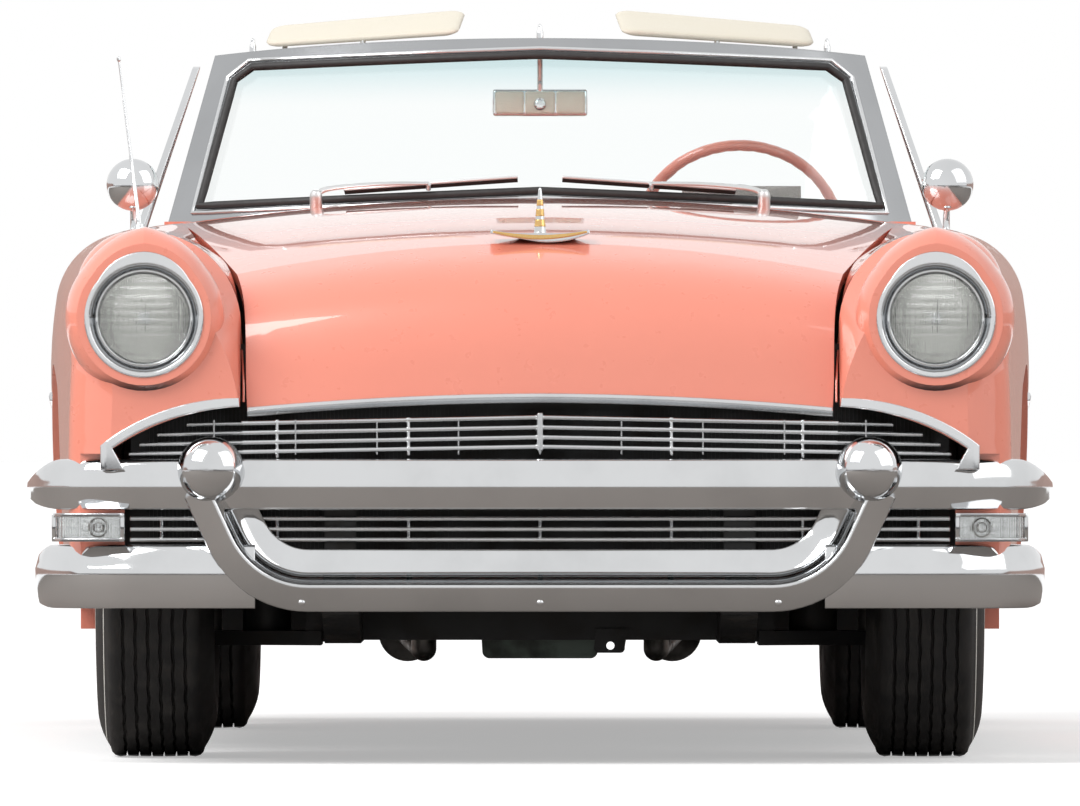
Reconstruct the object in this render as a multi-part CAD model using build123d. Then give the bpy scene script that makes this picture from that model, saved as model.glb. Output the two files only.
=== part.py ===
from build123d import *
import os
from collections import namedtuple
from math import cos, radians, sin

os.makedirs("parts", exist_ok=True)

# Whole car. X runs to the car's left, the nose points to -Y, Z is up, in millimetres.
LENGTH = 5456.0
WHEELBASE = 3124.0
FRONT_OVERHANG = 889.0
FRONT_TRACK = 1490.0
REAR_TRACK = 1440.0
TYRE_DIAMETER = 733.0
TYRE_WIDTH = 235.0
RIM_DIAMETER = 386.0

# Clearances and sheet thicknesses
SEAT = 0.3
SHUT_GAP = 7.0
RUNNING = 0.1
SKIN = 14.0
LID_SKIN = 22.0

# Stations along the car as drawn; station() carries any drawn y to the lengths above
NOSE_TIP = -2728.0
FRONT_AXLE = -1839.0
REAR_AXLE = 1285.0
TAIL_TIP = 2728.0
DRAWN = [NOSE_TIP, FRONT_AXLE, REAR_AXLE, TAIL_TIP]
BUILT = [
    -LENGTH / 2,
    -LENGTH / 2 + FRONT_OVERHANG,
    -LENGTH / 2 + FRONT_OVERHANG + WHEELBASE,
    LENGTH / 2,
]
TYRE_R = TYRE_DIAMETER / 2
RIM_R = RIM_DIAMETER / 2

# Panel splits along the car
NOSE_BACK = -2530.0
HOOD_REAR = -1011.0
DOOR_FRONT = -693.0
DOOR_REAR = 567.0
SILL_TOP = 298.0
DOOR_BOTTOM = SILL_TOP + SHUT_GAP
DOOR_INNER = 800.0
FLOOR_TOP = 364.0
FLOOR_SHEET = 12.0
FLOOR_REAR = 690.0
LID_FRONT = 1490.0
LID_HALF = 640.0
TAIL_FRONT = 2540.0
ARCH_R = 398.0

# Doors
DOOR_SWING_X = 962.0
HINGE_PIN_R = 6.0
HINGE_HEIGHTS = (560.0, 850.0)
HINGE_LENGTH = 60.0

# Lamps
HEADLAMP_X = 752.0
HEADLAMP_Z = 848.0
HEADLAMP_FRONT = -2648.0
HEADLAMP_LENS_R = 86.0
HEADLAMP_RING_R = 113.0
POD_R = 148.0

# Steering
KINGPIN_OFFSET = 95.0
SPINDLE_R = 32.0
WHEEL_TILT = 28.0
STEERING_X = 408.0
STEERING_R = 214.0

# One row for each cut through the front fender, from the pod back to the door
Fender = namedtuple("Fender", "y x_in z_in crown x_top z_top x_side z_side x_wide z_wide x_low")
FENDERS = [
    Fender(NOSE_BACK, 570, 841, 52, 757, 1014, 884, 900, 894, 760, 893),
    Fender(-2364, 590, 930, 22, 760, 1021, 900, 895, 908, 740, 902),
    Fender(-1994, 638, 982, 10, 775, 1026, 930, 890, 938, 720, 925),
    Fender(-1496, 688, 1026, 5, 805, 1030, 955, 890, 963, 700, 938),
    Fender(-1008, 729, 1050, 4, 835, 1031, 968, 890, 975, 685, 945),
    Fender(DOOR_FRONT - SHUT_GAP, 764, 1048, 3, 850, 1030, 972, 890, 978, 680, 948),
]
NOSES = [
    Fender(-2637, 570, 655, 45, 752, 960, 800, 850, 812, 700, 805),
    Fender(-2600, 570, 700, 50, 755, 998, 858, 885, 866, 740, 864),
    FENDERS[0],
]

# One row for each cut through a door
Door = namedtuple("Door", "y x_top z_top x_side z_side x_wide z_wide x_low")
DOORS = [
    Door(DOOR_FRONT, 850, 1030, 972, 890, 978, 680, 948),
    Door(-60, 866, 1019, 977, 888, 985, 670, 952),
    Door(DOOR_REAR, 868, 1009, 978, 885, 990, 660, 955),
]

# One row for each cut through the rear quarter, from the door to the tail
QUARTERS = [
    Fender(DOOR_REAR + SHUT_GAP, 800, 1006, 2, 868, 1009, 978, 885, 991, 660, 955),
    Fender(760, 800, 1010, 2, 866, 1011, 980, 885, 1006, 650, 966),
    Fender(1285, 700, 1020, 4, 855, 1014, 974, 885, 1006, 645, 966),
    Fender(1900, LID_HALF + SHUT_GAP, 966, 8, 832, 1006, 950, 885, 980, 645, 945),
    Fender(2250, LID_HALF + SHUT_GAP, 900, 16, 815, 998, 925, 882, 955, 645, 922),
    Fender(TAIL_FRONT, LID_HALF + SHUT_GAP, 735, 40, 800, 980, 885, 870, 908, 645, 885),
]
TAILS = [
    QUARTERS[-1],
    Fender(2610, LID_HALF + SHUT_GAP, 700, 40, 798, 960, 850, 850, 868, 645, 850),
    Fender(2640, LID_HALF + SHUT_GAP, 670, 36, 790, 925, 815, 830, 826, 645, 812),
]

# One row for each bow of a lid: middle of the bow, its lean, half width and crown
Bow = namedtuple("Bow", "y z lean half crown")
HOOD_BOWS = [
    Bow(-2618, 703, 135, 557, 38),
    Bow(-2606, 790, 150, 560, 45),
    Bow(-2568, 884, 135, 562, 55),
    Bow(-2490, 953, 118, 569, 60),
    Bow(-2380, 995, 104, 581, 62),
    Bow(-1994, 1044, 96, 630, 60),
    Bow(-1500, 1080, 93, 680, 54),
    Bow(HOOD_REAR, 1101, 90, 720, 50),
]
COWL_BOWS = [
    Bow(HOOD_REAR + SHUT_GAP, 1101, 90, 726, 50),
    Bow(-820, 1106, 90, 748, 54),
    Bow(-620, 1098, 90, 762, 52),
]
LID_BOWS = [
    Bow(LID_FRONT, 1012, 90, LID_HALF, 20),
    Bow(1900, 986, 84, LID_HALF, 22),
    Bow(2250, 922, 70, LID_HALF, 24),
    Bow(2470, 826, 48, LID_HALF, 26),
    Bow(2566, 700, 14, LID_HALF, 26),
    Bow(2578, 600, 2, LID_HALF, 26),
]
COWL_SKIN = 36.0


def carried(y, knots, ends):
    here = 0
    while here < 2 and y > knots[here + 1]:
        here += 1
    share = (y - knots[here]) / (knots[here + 1] - knots[here])
    return ends[here] + share * (ends[here + 1] - ends[here])


def station(y):
    return carried(y, DRAWN, BUILT)


def at(x, y, z):
    return Vector(x, station(y), z)


# Outlines from corners (u, v, rise): rise is the height of the arc that arrives at a corner
def ring(corners, place):
    edges = []
    for (u0, v0, _), (u1, v1, rise) in zip(corners[-1:] + corners[:-1], corners):
        du, dv = u1 - u0, v1 - v0
        size = (du * du + dv * dv) ** 0.5
        if rise == 0:
            edges.append(Edge.make_line(place(u0, v0), place(u1, v1)))
        else:
            um = (u0 + u1) / 2 + dv / size * rise
            vm = (v0 + v1) / 2 - du / size * rise
            arc = Edge.make_three_point_arc(place(u0, v0), place(um, vm), place(u1, v1))
            edges.append(arc)
    return Wire(edges)


def across(y):
    return lambda u, v: at(u, y, v)


def along(x):
    return lambda u, v: at(x, u, v)


def level(z):
    return lambda u, v: at(u, v, z)


def prism(corners, place, reach):
    face = Face(ring(corners, place))
    near = place(*corners[0][:2]).Y
    far = station(carried(near, BUILT, DRAWN) + reach[1]) if reach[1] else near
    return Solid.extrude(face, Vector(reach[0], far - near, reach[2]))


def turned(corners, place, axis):
    return Solid.revolve(Face(ring(corners, place)), 360, axis)


def block(x0, x1, y0, y1, z0, z1):
    return Solid.make_box(x1 - x0, station(y1) - station(y0), z1 - z0, Plane(at(x0, y0, z0)))


def rod(start, end, radius):
    a, b = at(*start), at(*end)
    return Solid.make_cylinder(radius, (b - a).length, Plane(origin=a, z_dir=b - a))


def ball(centre, radius):
    return Solid.make_sphere(radius, Plane(at(*centre)))


def mirrored(solid):
    return solid.mirror(Plane.YZ)


def fused(first, *rest):
    return first.fuse(*rest).clean() if rest else first


def bodies(shape):
    return list(shape.solids())


def save(name, *shapes):
    solids = [solid for shape in shapes for solid in shape.solids()]
    export_step(Compound(solids), f"parts/{name}.step")


# Fender and quarter cuts: a thin skin, or a filled block at the nose and tail
def skin_cut(row, low, wall, top_wall=SKIN):
    r = row
    return ring([
        (r.x_low, low, 0),
        (r.x_wide, r.z_wide, 6),
        (r.x_side, r.z_side, 5),
        (r.x_top, r.z_top, 38),
        (r.x_in, r.z_in, r.crown),
        (r.x_in, r.z_in - top_wall, 0),
        (r.x_top, r.z_top - top_wall, -r.crown),
        (r.x_side - wall, r.z_side - top_wall / 2, -36),
        (r.x_wide - wall, r.z_wide, -5),
        (r.x_low - wall, low, -6),
    ], across(r.y))


def filled_cut(row, low, grow=0.0):
    r = row
    return ring([
        (r.x_in, low, 0),
        (r.x_low + grow, low, 0),
        (r.x_wide + grow, r.z_wide, 6),
        (r.x_side + grow, r.z_side, 5),
        (r.x_top, r.z_top + grow, 38),
        (r.x_in, r.z_in + grow, r.crown),
    ], across(r.y - (grow if row.y < 0 else -grow)))


def bow_cut(bow, wall, drop=0.0):
    lean_y, lean_z = cos(radians(bow.lean)), sin(radians(bow.lean))

    def place(u, v):
        return at(u, bow.y + lean_y * v, bow.z + lean_z * v)

    half, rise = bow.half, -bow.crown
    slope = (half * half + rise * rise) ** 0.5
    bulge = slope * bow.crown / half / 4.4
    return ring([
        (half, rise - drop, 0),
        (0, -drop, bulge),
        (-half, rise - drop, bulge),
        (-half, rise - drop - wall, 0),
        (0, -drop - wall, -bulge),
        (half, rise - drop - wall, -bulge),
    ], place)


def arch(axle):
    return rod((500, axle, TYRE_R), (1200, axle, TYRE_R), ARCH_R)


def pod_cut(y, radius, peak):
    u, v = radius * cos(radians(40)), radius * sin(radians(40))
    return ring([
        (HEADLAMP_X + u, HEADLAMP_Z + v, v + radius),
        (HEADLAMP_X, HEADLAMP_Z + peak, 14),
        (HEADLAMP_X - u, HEADLAMP_Z + v, 14),
    ], across(y))


# Front fenders with their lamp pods
GRILLE_MOUTH = [(540, 280, 0), (790, 280, 0), (790, 560, 0), (812, 600, 0), (540, 680, 22)]
fender = Solid.make_loft([skin_cut(row, 300, SKIN) for row in FENDERS])
nose = Solid.make_loft([filled_cut(row, 300) for row in NOSES])
pod = Solid.make_loft([
    pod_cut(-2560, POD_R + 2, 172),
    pod_cut(-2625, POD_R - 4, 164),
    pod_cut(-2652, POD_R - 20, 142),
])
lamp_well = Solid.make_loft([
    pod_cut(HEADLAMP_FRONT - 8, HEADLAMP_RING_R + SEAT, HEADLAMP_RING_R + 14),
    pod_cut(HEADLAMP_FRONT + 58, HEADLAMP_RING_R - 10 + SEAT, HEADLAMP_RING_R + 2),
])
mouth = prism(GRILLE_MOUTH, across(-2800), (0, 2800 + NOSE_BACK + 5, 0))
BUMPER_BACK = -2596.0
bumper_room = block(500, 1100, -2800, BUMPER_BACK, 280, 590)
fender_left = fused(nose, pod, fender) - mouth - bumper_room - lamp_well - arch(FRONT_AXLE)
save("front_fenders", fender_left, mirrored(fender_left))

# Chrome lip of the grille mouth on each fender
LIP = 24.0
lip_band = prism(
    [(590, 560, 0), (812, 601, 0), (571, 672, 22), (571, 672 + LIP, 0), (835, 606, -24), (835, 560, 0)],
    across(-2800), (0, 2800 + NOSE_BACK - 1, 0),
)
lip_band = lip_band - mouth
nose_grown = Solid.make_loft([filled_cut(row, 300, 9.0) for row in NOSES])
nose_seat = Solid.make_loft([filled_cut(row, 300, SEAT) for row in NOSES])
mouth_lip = max(bodies((nose_grown & lip_band) - nose_seat - pod), key=lambda s: s.volume)

# Headlamps: pointed chrome ring, then the round lamp
ring_solid = Solid.make_loft([
    pod_cut(HEADLAMP_FRONT - 6, HEADLAMP_RING_R, HEADLAMP_RING_R + 13),
    pod_cut(HEADLAMP_FRONT + 55, HEADLAMP_RING_R - 10, HEADLAMP_RING_R + 1),
])
axis_lamp = Axis((HEADLAMP_X, 0, HEADLAMP_Z), (0, 1, 0))


def lamp_place(u, v):
    return at(HEADLAMP_X + v, u, HEADLAMP_Z)


lamp_hole = turned([
    (HEADLAMP_FRONT - 20, 0, 0),
    (HEADLAMP_FRONT + 30, 0, 0),
    (HEADLAMP_FRONT + 30, HEADLAMP_LENS_R + 9, 0),
    (HEADLAMP_FRONT + 14, HEADLAMP_LENS_R + 9, 0),
    (HEADLAMP_FRONT - 20, HEADLAMP_LENS_R + 24, 0),
], lamp_place, axis_lamp)
headlamp_ring = ring_solid - lamp_hole
save("headlamp_rings", headlamp_ring, mirrored(headlamp_ring))
headlamp = turned([
    (HEADLAMP_FRONT + 30 - SEAT, 0, 0),
    (HEADLAMP_FRONT - 2, 0, 0),
    (HEADLAMP_FRONT + 16, HEADLAMP_LENS_R, -4),
    (HEADLAMP_FRONT + 8, HEADLAMP_LENS_R + 3, 0),
    (HEADLAMP_FRONT + 14, HEADLAMP_LENS_R + 9 - SEAT, -2),
    (HEADLAMP_FRONT + 30 - SEAT, HEADLAMP_LENS_R + 9 - SEAT, 0),
], lamp_place, axis_lamp)
save("headlamps", headlamp, mirrored(headlamp))

# Hood with its chrome lip
hood_nose = Solid.make_loft([bow_cut(bow, LID_SKIN) for bow in HOOD_BOWS[:5]])
hood_back = Solid.make_loft([bow_cut(bow, LID_SKIN) for bow in HOOD_BOWS[4:]])
hood = fused(hood_nose, hood_back)
save("hood", hood)
first = HOOD_BOWS[0]
LIP_DEEP = 16.0
LIP_REACH = 10.0
lip_face = Face(bow_cut(first, LIP_DEEP, -4))
step_y, step_z = -sin(radians(first.lean)), cos(radians(first.lean))
lip = Solid.extrude(lip_face, Vector(0, step_y * LIP_REACH, step_z * LIP_REACH))
lip = lip.translate(Vector(0, step_y * SEAT, step_z * SEAT))

# Hood ornament: low wings and a raised spear
ORNAMENT_Y = -2395.0
ORNAMENT_Z = 994.0
wing = prism(
    [(0, 2, 0), (96, 18, 6), (94, 26, 0), (0, 20, -4), (-94, 26, -4), (-96, 18, 0)],
    lambda u, v: at(u, ORNAMENT_Y, ORNAMENT_Z + v), (0, 70, 0),
)
spear = turned(
    [(0, 0, 0), (13, 0, 0), (9, 30, 0), (3, 92, 0), (0, 96, 0)],
    lambda u, v: at(u, ORNAMENT_Y, ORNAMENT_Z + 12 + v) + Vector(0, 35, 0),
    Axis(at(0, ORNAMENT_Y, 0) + Vector(0, 35, 0), (0, 0, 1)),
)
ornament = fused(wing, spear) - hood
save("hood_trim", lip, max(bodies(ornament), key=lambda s: s.volume))

# Windshield: a curved slab with a window cut through it
Sweep = namedtuple("Sweep", "half y_corner z_corner y_middle z_middle")
SCREEN_FOOT = Sweep(762, -630, 1034, -858, 1080)
SCREEN_HEAD = Sweep(664, -425, 1404, -640, 1434)
WINDOW = [
    (-690, 1094, 0), (0, 1122, 0), (690, 1094, 0), (622, 1352, 0), (585, 1378, 6),
    (0, 1398, 2), (-585, 1378, 2), (-622, 1352, 6),
]
SCREEN_DEEP = 34.0


def screen_cut(row, near, far):
    left = at(-row.half, row.y_corner, row.z_corner)
    middle = at(0, row.y_middle, row.z_middle)
    right = at(row.half, row.y_corner, row.z_corner)
    back = Vector(0, left.Y - middle.Y, left.Z - middle.Z).normalized()
    a, b = back * near, back * far
    return Wire([
        Edge.make_three_point_arc(left + a, middle + a, right + a),
        Edge.make_line(right + a, right + b),
        Edge.make_three_point_arc(right + b, middle + b, left + b),
        Edge.make_line(left + b, left + a),
    ])


slab = Solid.make_loft([screen_cut(SCREEN_FOOT, 0, SCREEN_DEEP), screen_cut(SCREEN_HEAD, 0, SCREEN_DEEP)])
pane = Solid.make_loft([screen_cut(SCREEN_FOOT, 14, 20), screen_cut(SCREEN_HEAD, 14, 20)])
window = prism([(u, v, 0 if abs(u) > 600 else r) for u, v, r in WINDOW], across(-1100), (0, 900, 0))
shrink = 1 - SEAT / 400
pane_edge = prism(
    [(u * shrink, 1240 + (v - 1240) * (1 - SEAT / 130), 0 if abs(u) > 600 else r) for u, v, r in WINDOW],
    across(-1100), (0, 900, 0),
)
save("windshield_frame", slab - window)
save("windshield_glass", pane & pane_edge)

# Cowl with the seal ledge that the hood rests on
cowl = Solid.make_loft([bow_cut(bow, COWL_SKIN) for bow in COWL_BOWS])
ledge_bows = [COWL_BOWS[0], COWL_BOWS[0]._replace(y=HOOD_REAR - 30, z=1099.6, half=717)]
ledge = Solid.make_loft([bow_cut(bow, COWL_SKIN - LID_SKIN - 2, LID_SKIN + 1) for bow in ledge_bows])
cowl = fused(cowl, ledge) - slab
save("cowl", max(bodies(cowl), key=lambda s: s.volume))

# Floor, firewall with the hinge pillars, sills
floor = block(-795, 795, -985, FLOOR_REAR, FLOOR_TOP - FLOOR_SHEET, FLOOR_TOP)
tunnel = prism([(-150, FLOOR_TOP, 0), (150, FLOOR_TOP, 0), (95, 500, 0), (-95, 500, 18)], across(-985), (0, FLOOR_REAR + 985, 0))
tunnel_hole = prism(
    [(-138, FLOOR_TOP - FLOOR_SHEET, 0), (138, FLOOR_TOP - FLOOR_SHEET, 0), (86, 488, 0), (-86, 488, 16)],
    across(-985), (0, FLOOR_REAR + 985, 0),
)
PILLAR_IN = 768.0
firewall = block(-718, 718, -1002, -986, FLOOR_TOP - FLOOR_SHEET, 1090)
pillar = block(PILLAR_IN, 798, -1002, DOOR_FRONT - SHUT_GAP, FLOOR_TOP + SEAT, 1005)
bridge = block(710, PILLAR_IN + 5, -1002, -986, FLOOR_TOP + SEAT, 1005)
gearbox_hole = block(-160, 160, -1010, -980, 300, 506)
firewall = fused(firewall, pillar, bridge, mirrored(pillar), mirrored(bridge)) - cowl - gearbox_hole
firewall = max(bodies(firewall), key=lambda s: s.volume)
sill = block(DOOR_INNER - 4, 930, DOOR_FRONT - SHUT_GAP, 870, 236, SILL_TOP)
sill = fused(sill, block(DOOR_INNER - 4, DOOR_INNER + 40, -985, 870, 236, SILL_TOP))
web = block(780, DOOR_INNER - 2, -985, FLOOR_REAR, 236, FLOOR_TOP - 2)
floor = fused(floor, tunnel) - tunnel_hole
save("floor", fused(floor, web, mirrored(web), sill, mirrored(sill)))

# Doors with their hinge pins


def door_cut(row):
    return ring([
        (DOOR_INNER, DOOR_BOTTOM, 0),
        (row.x_low, DOOR_BOTTOM, 0),
        (row.x_wide, row.z_wide, 6),
        (row.x_side, row.z_side, 5),
        (row.x_top, row.z_top, 38),
        (DOOR_INNER, row.z_top, 0),
    ], across(row.y))


door = Solid.make_loft([door_cut(row) for row in DOORS])
SWING_Y = DOOR_FRONT + 12.0
edge_keep = rod((DOOR_SWING_X, SWING_Y, 200), (DOOR_SWING_X, SWING_Y, 1200), 12.0)
edge_off = block(DOOR_SWING_X - 4, 1100, DOOR_FRONT - 20, SWING_Y, 200, 1200) - edge_keep
door = door - edge_off
back_bevel = prism(
    [(DOOR_INNER - 10, DOOR_REAR - 12, 0), (DOOR_INNER + 110, DOOR_REAR + 1, 0), (DOOR_INNER - 10, DOOR_REAR + 1, 0)],
    level(200), (0, 0, 1000),
)
door = door - back_bevel
hinges = []
for height in HINGE_HEIGHTS:
    low, high = height - HINGE_LENGTH / 2, height + HINGE_LENGTH / 2
    notch = block(DOOR_SWING_X - 60, DOOR_SWING_X + 9, DOOR_FRONT - 20, SWING_Y + 14, low - 8, high + 8)
    sleeve = rod((DOOR_SWING_X, SWING_Y, low - 8), (DOOR_SWING_X, SWING_Y, low + 12), 11)
    bore = rod((DOOR_SWING_X, SWING_Y, low - 30), (DOOR_SWING_X, SWING_Y, high + 30), HINGE_PIN_R + SEAT)
    door = fused(max(bodies(door - notch), key=lambda s: s.volume), sleeve) - bore
    pin = rod((DOOR_SWING_X, SWING_Y, low - 4), (DOOR_SWING_X, SWING_Y, high - 4), HINGE_PIN_R)
    knuckle = rod((DOOR_SWING_X, SWING_Y, low + 14), (DOOR_SWING_X, SWING_Y, high - 4), 9)
    arm = block(DOOR_SWING_X - 44, DOOR_SWING_X, SWING_Y - 5, SWING_Y + 5, low + 16, high - 6)
    neck = block(DOOR_SWING_X - 52, DOOR_SWING_X - 40, DOOR_FRONT - 60, SWING_Y + 5, low + 16, high - 6)
    foot = block(790, DOOR_SWING_X - 40, DOOR_FRONT - 60, DOOR_FRONT - 30, low + 16, high - 6)
    hinges.append(fused(pin, knuckle, arm, neck, foot))
door_left = max(bodies(door), key=lambda s: s.volume)
save("door_left", door_left)
save("door_right", mirrored(door_left))

# Rear quarters with tail blocks
quarter = Solid.make_loft([skin_cut(row, 300, 84.0) for row in QUARTERS])
tail = Solid.make_loft([filled_cut(row, 300) for row in TAILS])
quarter_left = fused(quarter, tail) - arch(REAR_AXLE)
quarter_left = max(bodies(quarter_left), key=lambda s: s.volume)
save("rear_quarters", quarter_left, mirrored(quarter_left))
trunk_lid = Solid.make_loft([bow_cut(bow, LID_SKIN) for bow in LID_BOWS])
save("trunk_lid", trunk_lid)

# Wheels and tyres


def wheel_place(x, axle, side):
    return lambda u, v: at(x + side * u, axle, TYRE_R + v)


HALF = TYRE_WIDTH / 2
TYRE_LINE = [
    (-72, RIM_R, 0), (72, RIM_R, 0), (HALF - 26, TYRE_R - 18, 33), (HALF - 44, TYRE_R, 5),
    (-HALF + 44, TYRE_R, 0), (-HALF + 26, TYRE_R - 18, 5), (-72, RIM_R, 33),
][:-1]
TYRE_LINE[0] = (-72, RIM_R, 33)
WHEEL_LINE = [
    (-65, SPINDLE_R, 0), (60, SPINDLE_R, 0), (60, 0, 0), (98, 0, 0), (92, 70, 2), (76, 120, 0), (80, 168, 3),
    (74, RIM_R - 6, 2), (71, RIM_R - SEAT, 0), (-72, RIM_R - SEAT, 0), (-72, RIM_R - 14, 0), (5, RIM_R - 14, 0),
    (5, 150, 0), (-65, 150, 0),
]
WHEELS = {
    "front_left": (FRONT_TRACK / 2, FRONT_AXLE, 1),
    "front_right": (-FRONT_TRACK / 2, FRONT_AXLE, -1),
    "rear_left": (REAR_TRACK / 2, REAR_AXLE, 1),
    "rear_right": (-REAR_TRACK / 2, REAR_AXLE, -1),
}
for name, (x, axle, side) in WHEELS.items():
    spin = Axis(at(x, axle, TYRE_R), (1, 0, 0))
    place = wheel_place(x, axle, side)
    corners = TYRE_LINE if side > 0 else [(u, v, r) for u, v, r in TYRE_LINE]
    save(f"tyre_{name}", turned(corners, place, spin))
    save(f"wheel_{name}", turned(WHEEL_LINE, place, spin))

# Knuckles and front suspension
ARM_LOW = 232.0
ARM_HIGH = 470.0
ARM_THICK = 28.0
KINGPIN_X = FRONT_TRACK / 2 - KINGPIN_OFFSET
knuckle_low = ARM_LOW + ARM_THICK / 2 + SEAT
knuckle_high = ARM_HIGH - ARM_THICK / 2 - SEAT
upright = rod((KINGPIN_X, FRONT_AXLE, knuckle_low), (KINGPIN_X, FRONT_AXLE, knuckle_high), 30)
web = block(KINGPIN_X, KINGPIN_X + 25, FRONT_AXLE - 28, FRONT_AXLE + 28, TYRE_R - 60, TYRE_R + 60)
plate = rod((FRONT_TRACK / 2 - 82, FRONT_AXLE, TYRE_R), (FRONT_TRACK / 2 - 71, FRONT_AXLE, TYRE_R), 84)
spindle = rod((KINGPIN_X, FRONT_AXLE, TYRE_R), (FRONT_TRACK / 2 + 55, FRONT_AXLE, TYRE_R), SPINDLE_R - RUNNING)
steer_arm = block(KINGPIN_X - 14, KINGPIN_X + 14, FRONT_AXLE, FRONT_AXLE + 150, TYRE_R - 70, TYRE_R - 44)
knuckle_left = fused(upright, web, plate, spindle, steer_arm)
save("knuckle_left", knuckle_left)
save("knuckle_right", mirrored(knuckle_left))

RAIL_OUT = REAR_TRACK / 2 - TYRE_WIDTH / 2 - 187.5
RAIL_IN = RAIL_OUT - 70


def wishbone(z, inner_x):
    return prism([
        (inner_x, FRONT_AXLE - 130, 0), (KINGPIN_X - 20, FRONT_AXLE - 38, 0), (KINGPIN_X + 8, FRONT_AXLE - 30, 0),
        (KINGPIN_X + 8, FRONT_AXLE + 30, 0), (KINGPIN_X - 20, FRONT_AXLE + 38, 0), (inner_x, FRONT_AXLE + 130, 0),
    ], level(z - ARM_THICK / 2), (0, 0, ARM_THICK))


tower = block(RAIL_OUT + SEAT, RAIL_OUT + 40, FRONT_AXLE - 110, FRONT_AXLE + 110, 225, 520)
COIL_X = (RAIL_OUT + KINGPIN_X) / 2
COIL_R = (KINGPIN_X - RAIL_OUT) * 0.2
coil = rod((COIL_X, FRONT_AXLE, ARM_LOW), (COIL_X, FRONT_AXLE, ARM_HIGH), COIL_R)
suspension = fused(wishbone(ARM_LOW, RAIL_OUT + 10), wishbone(ARM_HIGH, RAIL_OUT + 10), tower, coil)
save("front_suspension", suspension, mirrored(suspension))

# Frame rails and cross members
RAIL_LOW = 225.0
RAIL_HIGH = 351.0
rail = prism([
    (-2560, RAIL_LOW + 60, 0), (-2200, RAIL_LOW, 0), (700, RAIL_LOW, 0), (960, 470, 0), (1560, 470, 0),
    (1900, 360, 0), (2530, 360, 0), (2530, 450, 0), (1900, 450, 0), (1560, 575, 0), (960, 575, 0),
    (700, RAIL_HIGH, 0), (-2560, RAIL_HIGH, 0),
], along(RAIL_IN), (RAIL_OUT - RAIL_IN, 0, 0))
beams = [
    block(-RAIL_IN - 5, RAIL_IN + 5, -2540, -2470, 290, 345),
    block(-RAIL_IN - 5, RAIL_IN + 5, FRONT_AXLE - 70, FRONT_AXLE + 70, 228, 290),
    block(-RAIL_IN - 5, RAIL_IN + 5, -720, -640, 240, 300),
    block(-RAIL_IN - 5, RAIL_IN + 5, 560, 640, 240, 328),
    block(-RAIL_IN - 5, RAIL_IN + 5, 1620, 1690, 480, 530),
    block(-RAIL_IN - 5, RAIL_IN + 5, 2460, 2528, 365, 445),
]
outriggers = [block(RAIL_OUT - 5, 780 - SEAT, y - 30, y + 30, 226, 318) for y in (-640, 480)]
outriggers = outriggers + [mirrored(o) for o in outriggers]
TOW_X = 137.0
tow_plate = prism([
    (TOW_X - 28, 250, 0), (TOW_X - 32, 212, 0), (TOW_X - 24, 203, 2), (TOW_X + 20, 203, 0), (TOW_X + 28, 214, 3),
    (TOW_X + 34, 250, 0),
], across(FRONT_AXLE - 82), (0, 16, 0))
tow_plate = tow_plate - rod((TOW_X, FRONT_AXLE - 100, 217), (TOW_X, FRONT_AXLE - 50, 217), 8)
save("frame", fused(rail, mirrored(rail), *beams, *outriggers, tow_plate))

# Engine and gearbox as one plain mass, with the oil pan seen from below
engine = block(-255, 255, -2150, -1330, 352, 860)
pan = prism([
    (-118, 292, 0), (-113, 204, 0), (-99, 190, 4), (99, 190, 0), (113, 204, 4), (118, 292, 0), (118, 360, 0),
    (-118, 360, 0),
], across(FRONT_AXLE + 90), (0, 380, 0))
gearbox = prism([(-110, 310, 0), (110, 310, 0), (75, 470, 0), (-75, 470, 14)], across(-1340), (0, 560, 0))
mount = block(-300, 300, FRONT_AXLE - 40, FRONT_AXLE + 40, 290 + SEAT, 360)
save("engine", fused(engine, pan, gearbox, mount))

# Rear axle with its springs
REAR_HUB = REAR_TRACK / 2
shaft = rod((0, -780 + SEAT, 385), (0, REAR_AXLE - 60, 372), 36)
casing = rod((0, REAR_AXLE - 115, TYRE_R), (0, REAR_AXLE + 95, TYRE_R), 128)
axle_tube = rod((-REAR_HUB + 70, REAR_AXLE, TYRE_R), (REAR_HUB - 70, REAR_AXLE, TYRE_R), 42)
axle_end = rod((-REAR_HUB - 55, REAR_AXLE, TYRE_R), (REAR_HUB + 55, REAR_AXLE, TYRE_R), SPINDLE_R - RUNNING)
SPRING_IN = RAIL_OUT + 6
spring = prism([
    (REAR_AXLE - 540, 440, 0), (REAR_AXLE, 300, 36), (REAR_AXLE + 620, 392, 36), (REAR_AXLE + 620, 408, 0),
    (REAR_AXLE, 330, -36), (REAR_AXLE - 540, 456, -36),
], along(SPRING_IN), (60, 0, 0))
hanger_front = block(RAIL_OUT + SEAT, SPRING_IN + 60, REAR_AXLE - 572, REAR_AXLE - 525, 425, 470)
hanger_rear = block(RAIL_OUT + SEAT, SPRING_IN + 60, REAR_AXLE + 600, REAR_AXLE + 640, 385, 430)
spring = fused(spring, hanger_front, hanger_rear)
save("rear_axle", fused(axle_tube, casing, axle_end, shaft, spring, mirrored(spring)))

# Front bumper: upper bar, cradle bar below it, two outer wings and two round guards
GUARD_X = 625.0
GUARD_Z = 560.0
GUARD_R = 63.0
GUARD_BACK = NOSE_TIP + 90.0


def swept(section, start, path_ends, straight):
    edges = []
    here, heading = at(*start), Vector(1, 0, 0)
    for end in path_ends:
        arc = TangentArc(here, at(*end), tangent=heading)
        edges.append(arc)
        here, heading = arc @ 1, arc % 1
    edges.append(Line(here, here + heading * straight))
    return sweep(section, path=Wire(edges)).solids()[0]


def bar_section(x, corners):
    return Face(ring(corners, along(x)))


def sided(half):
    return fused(half, mirrored(half))


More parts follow.
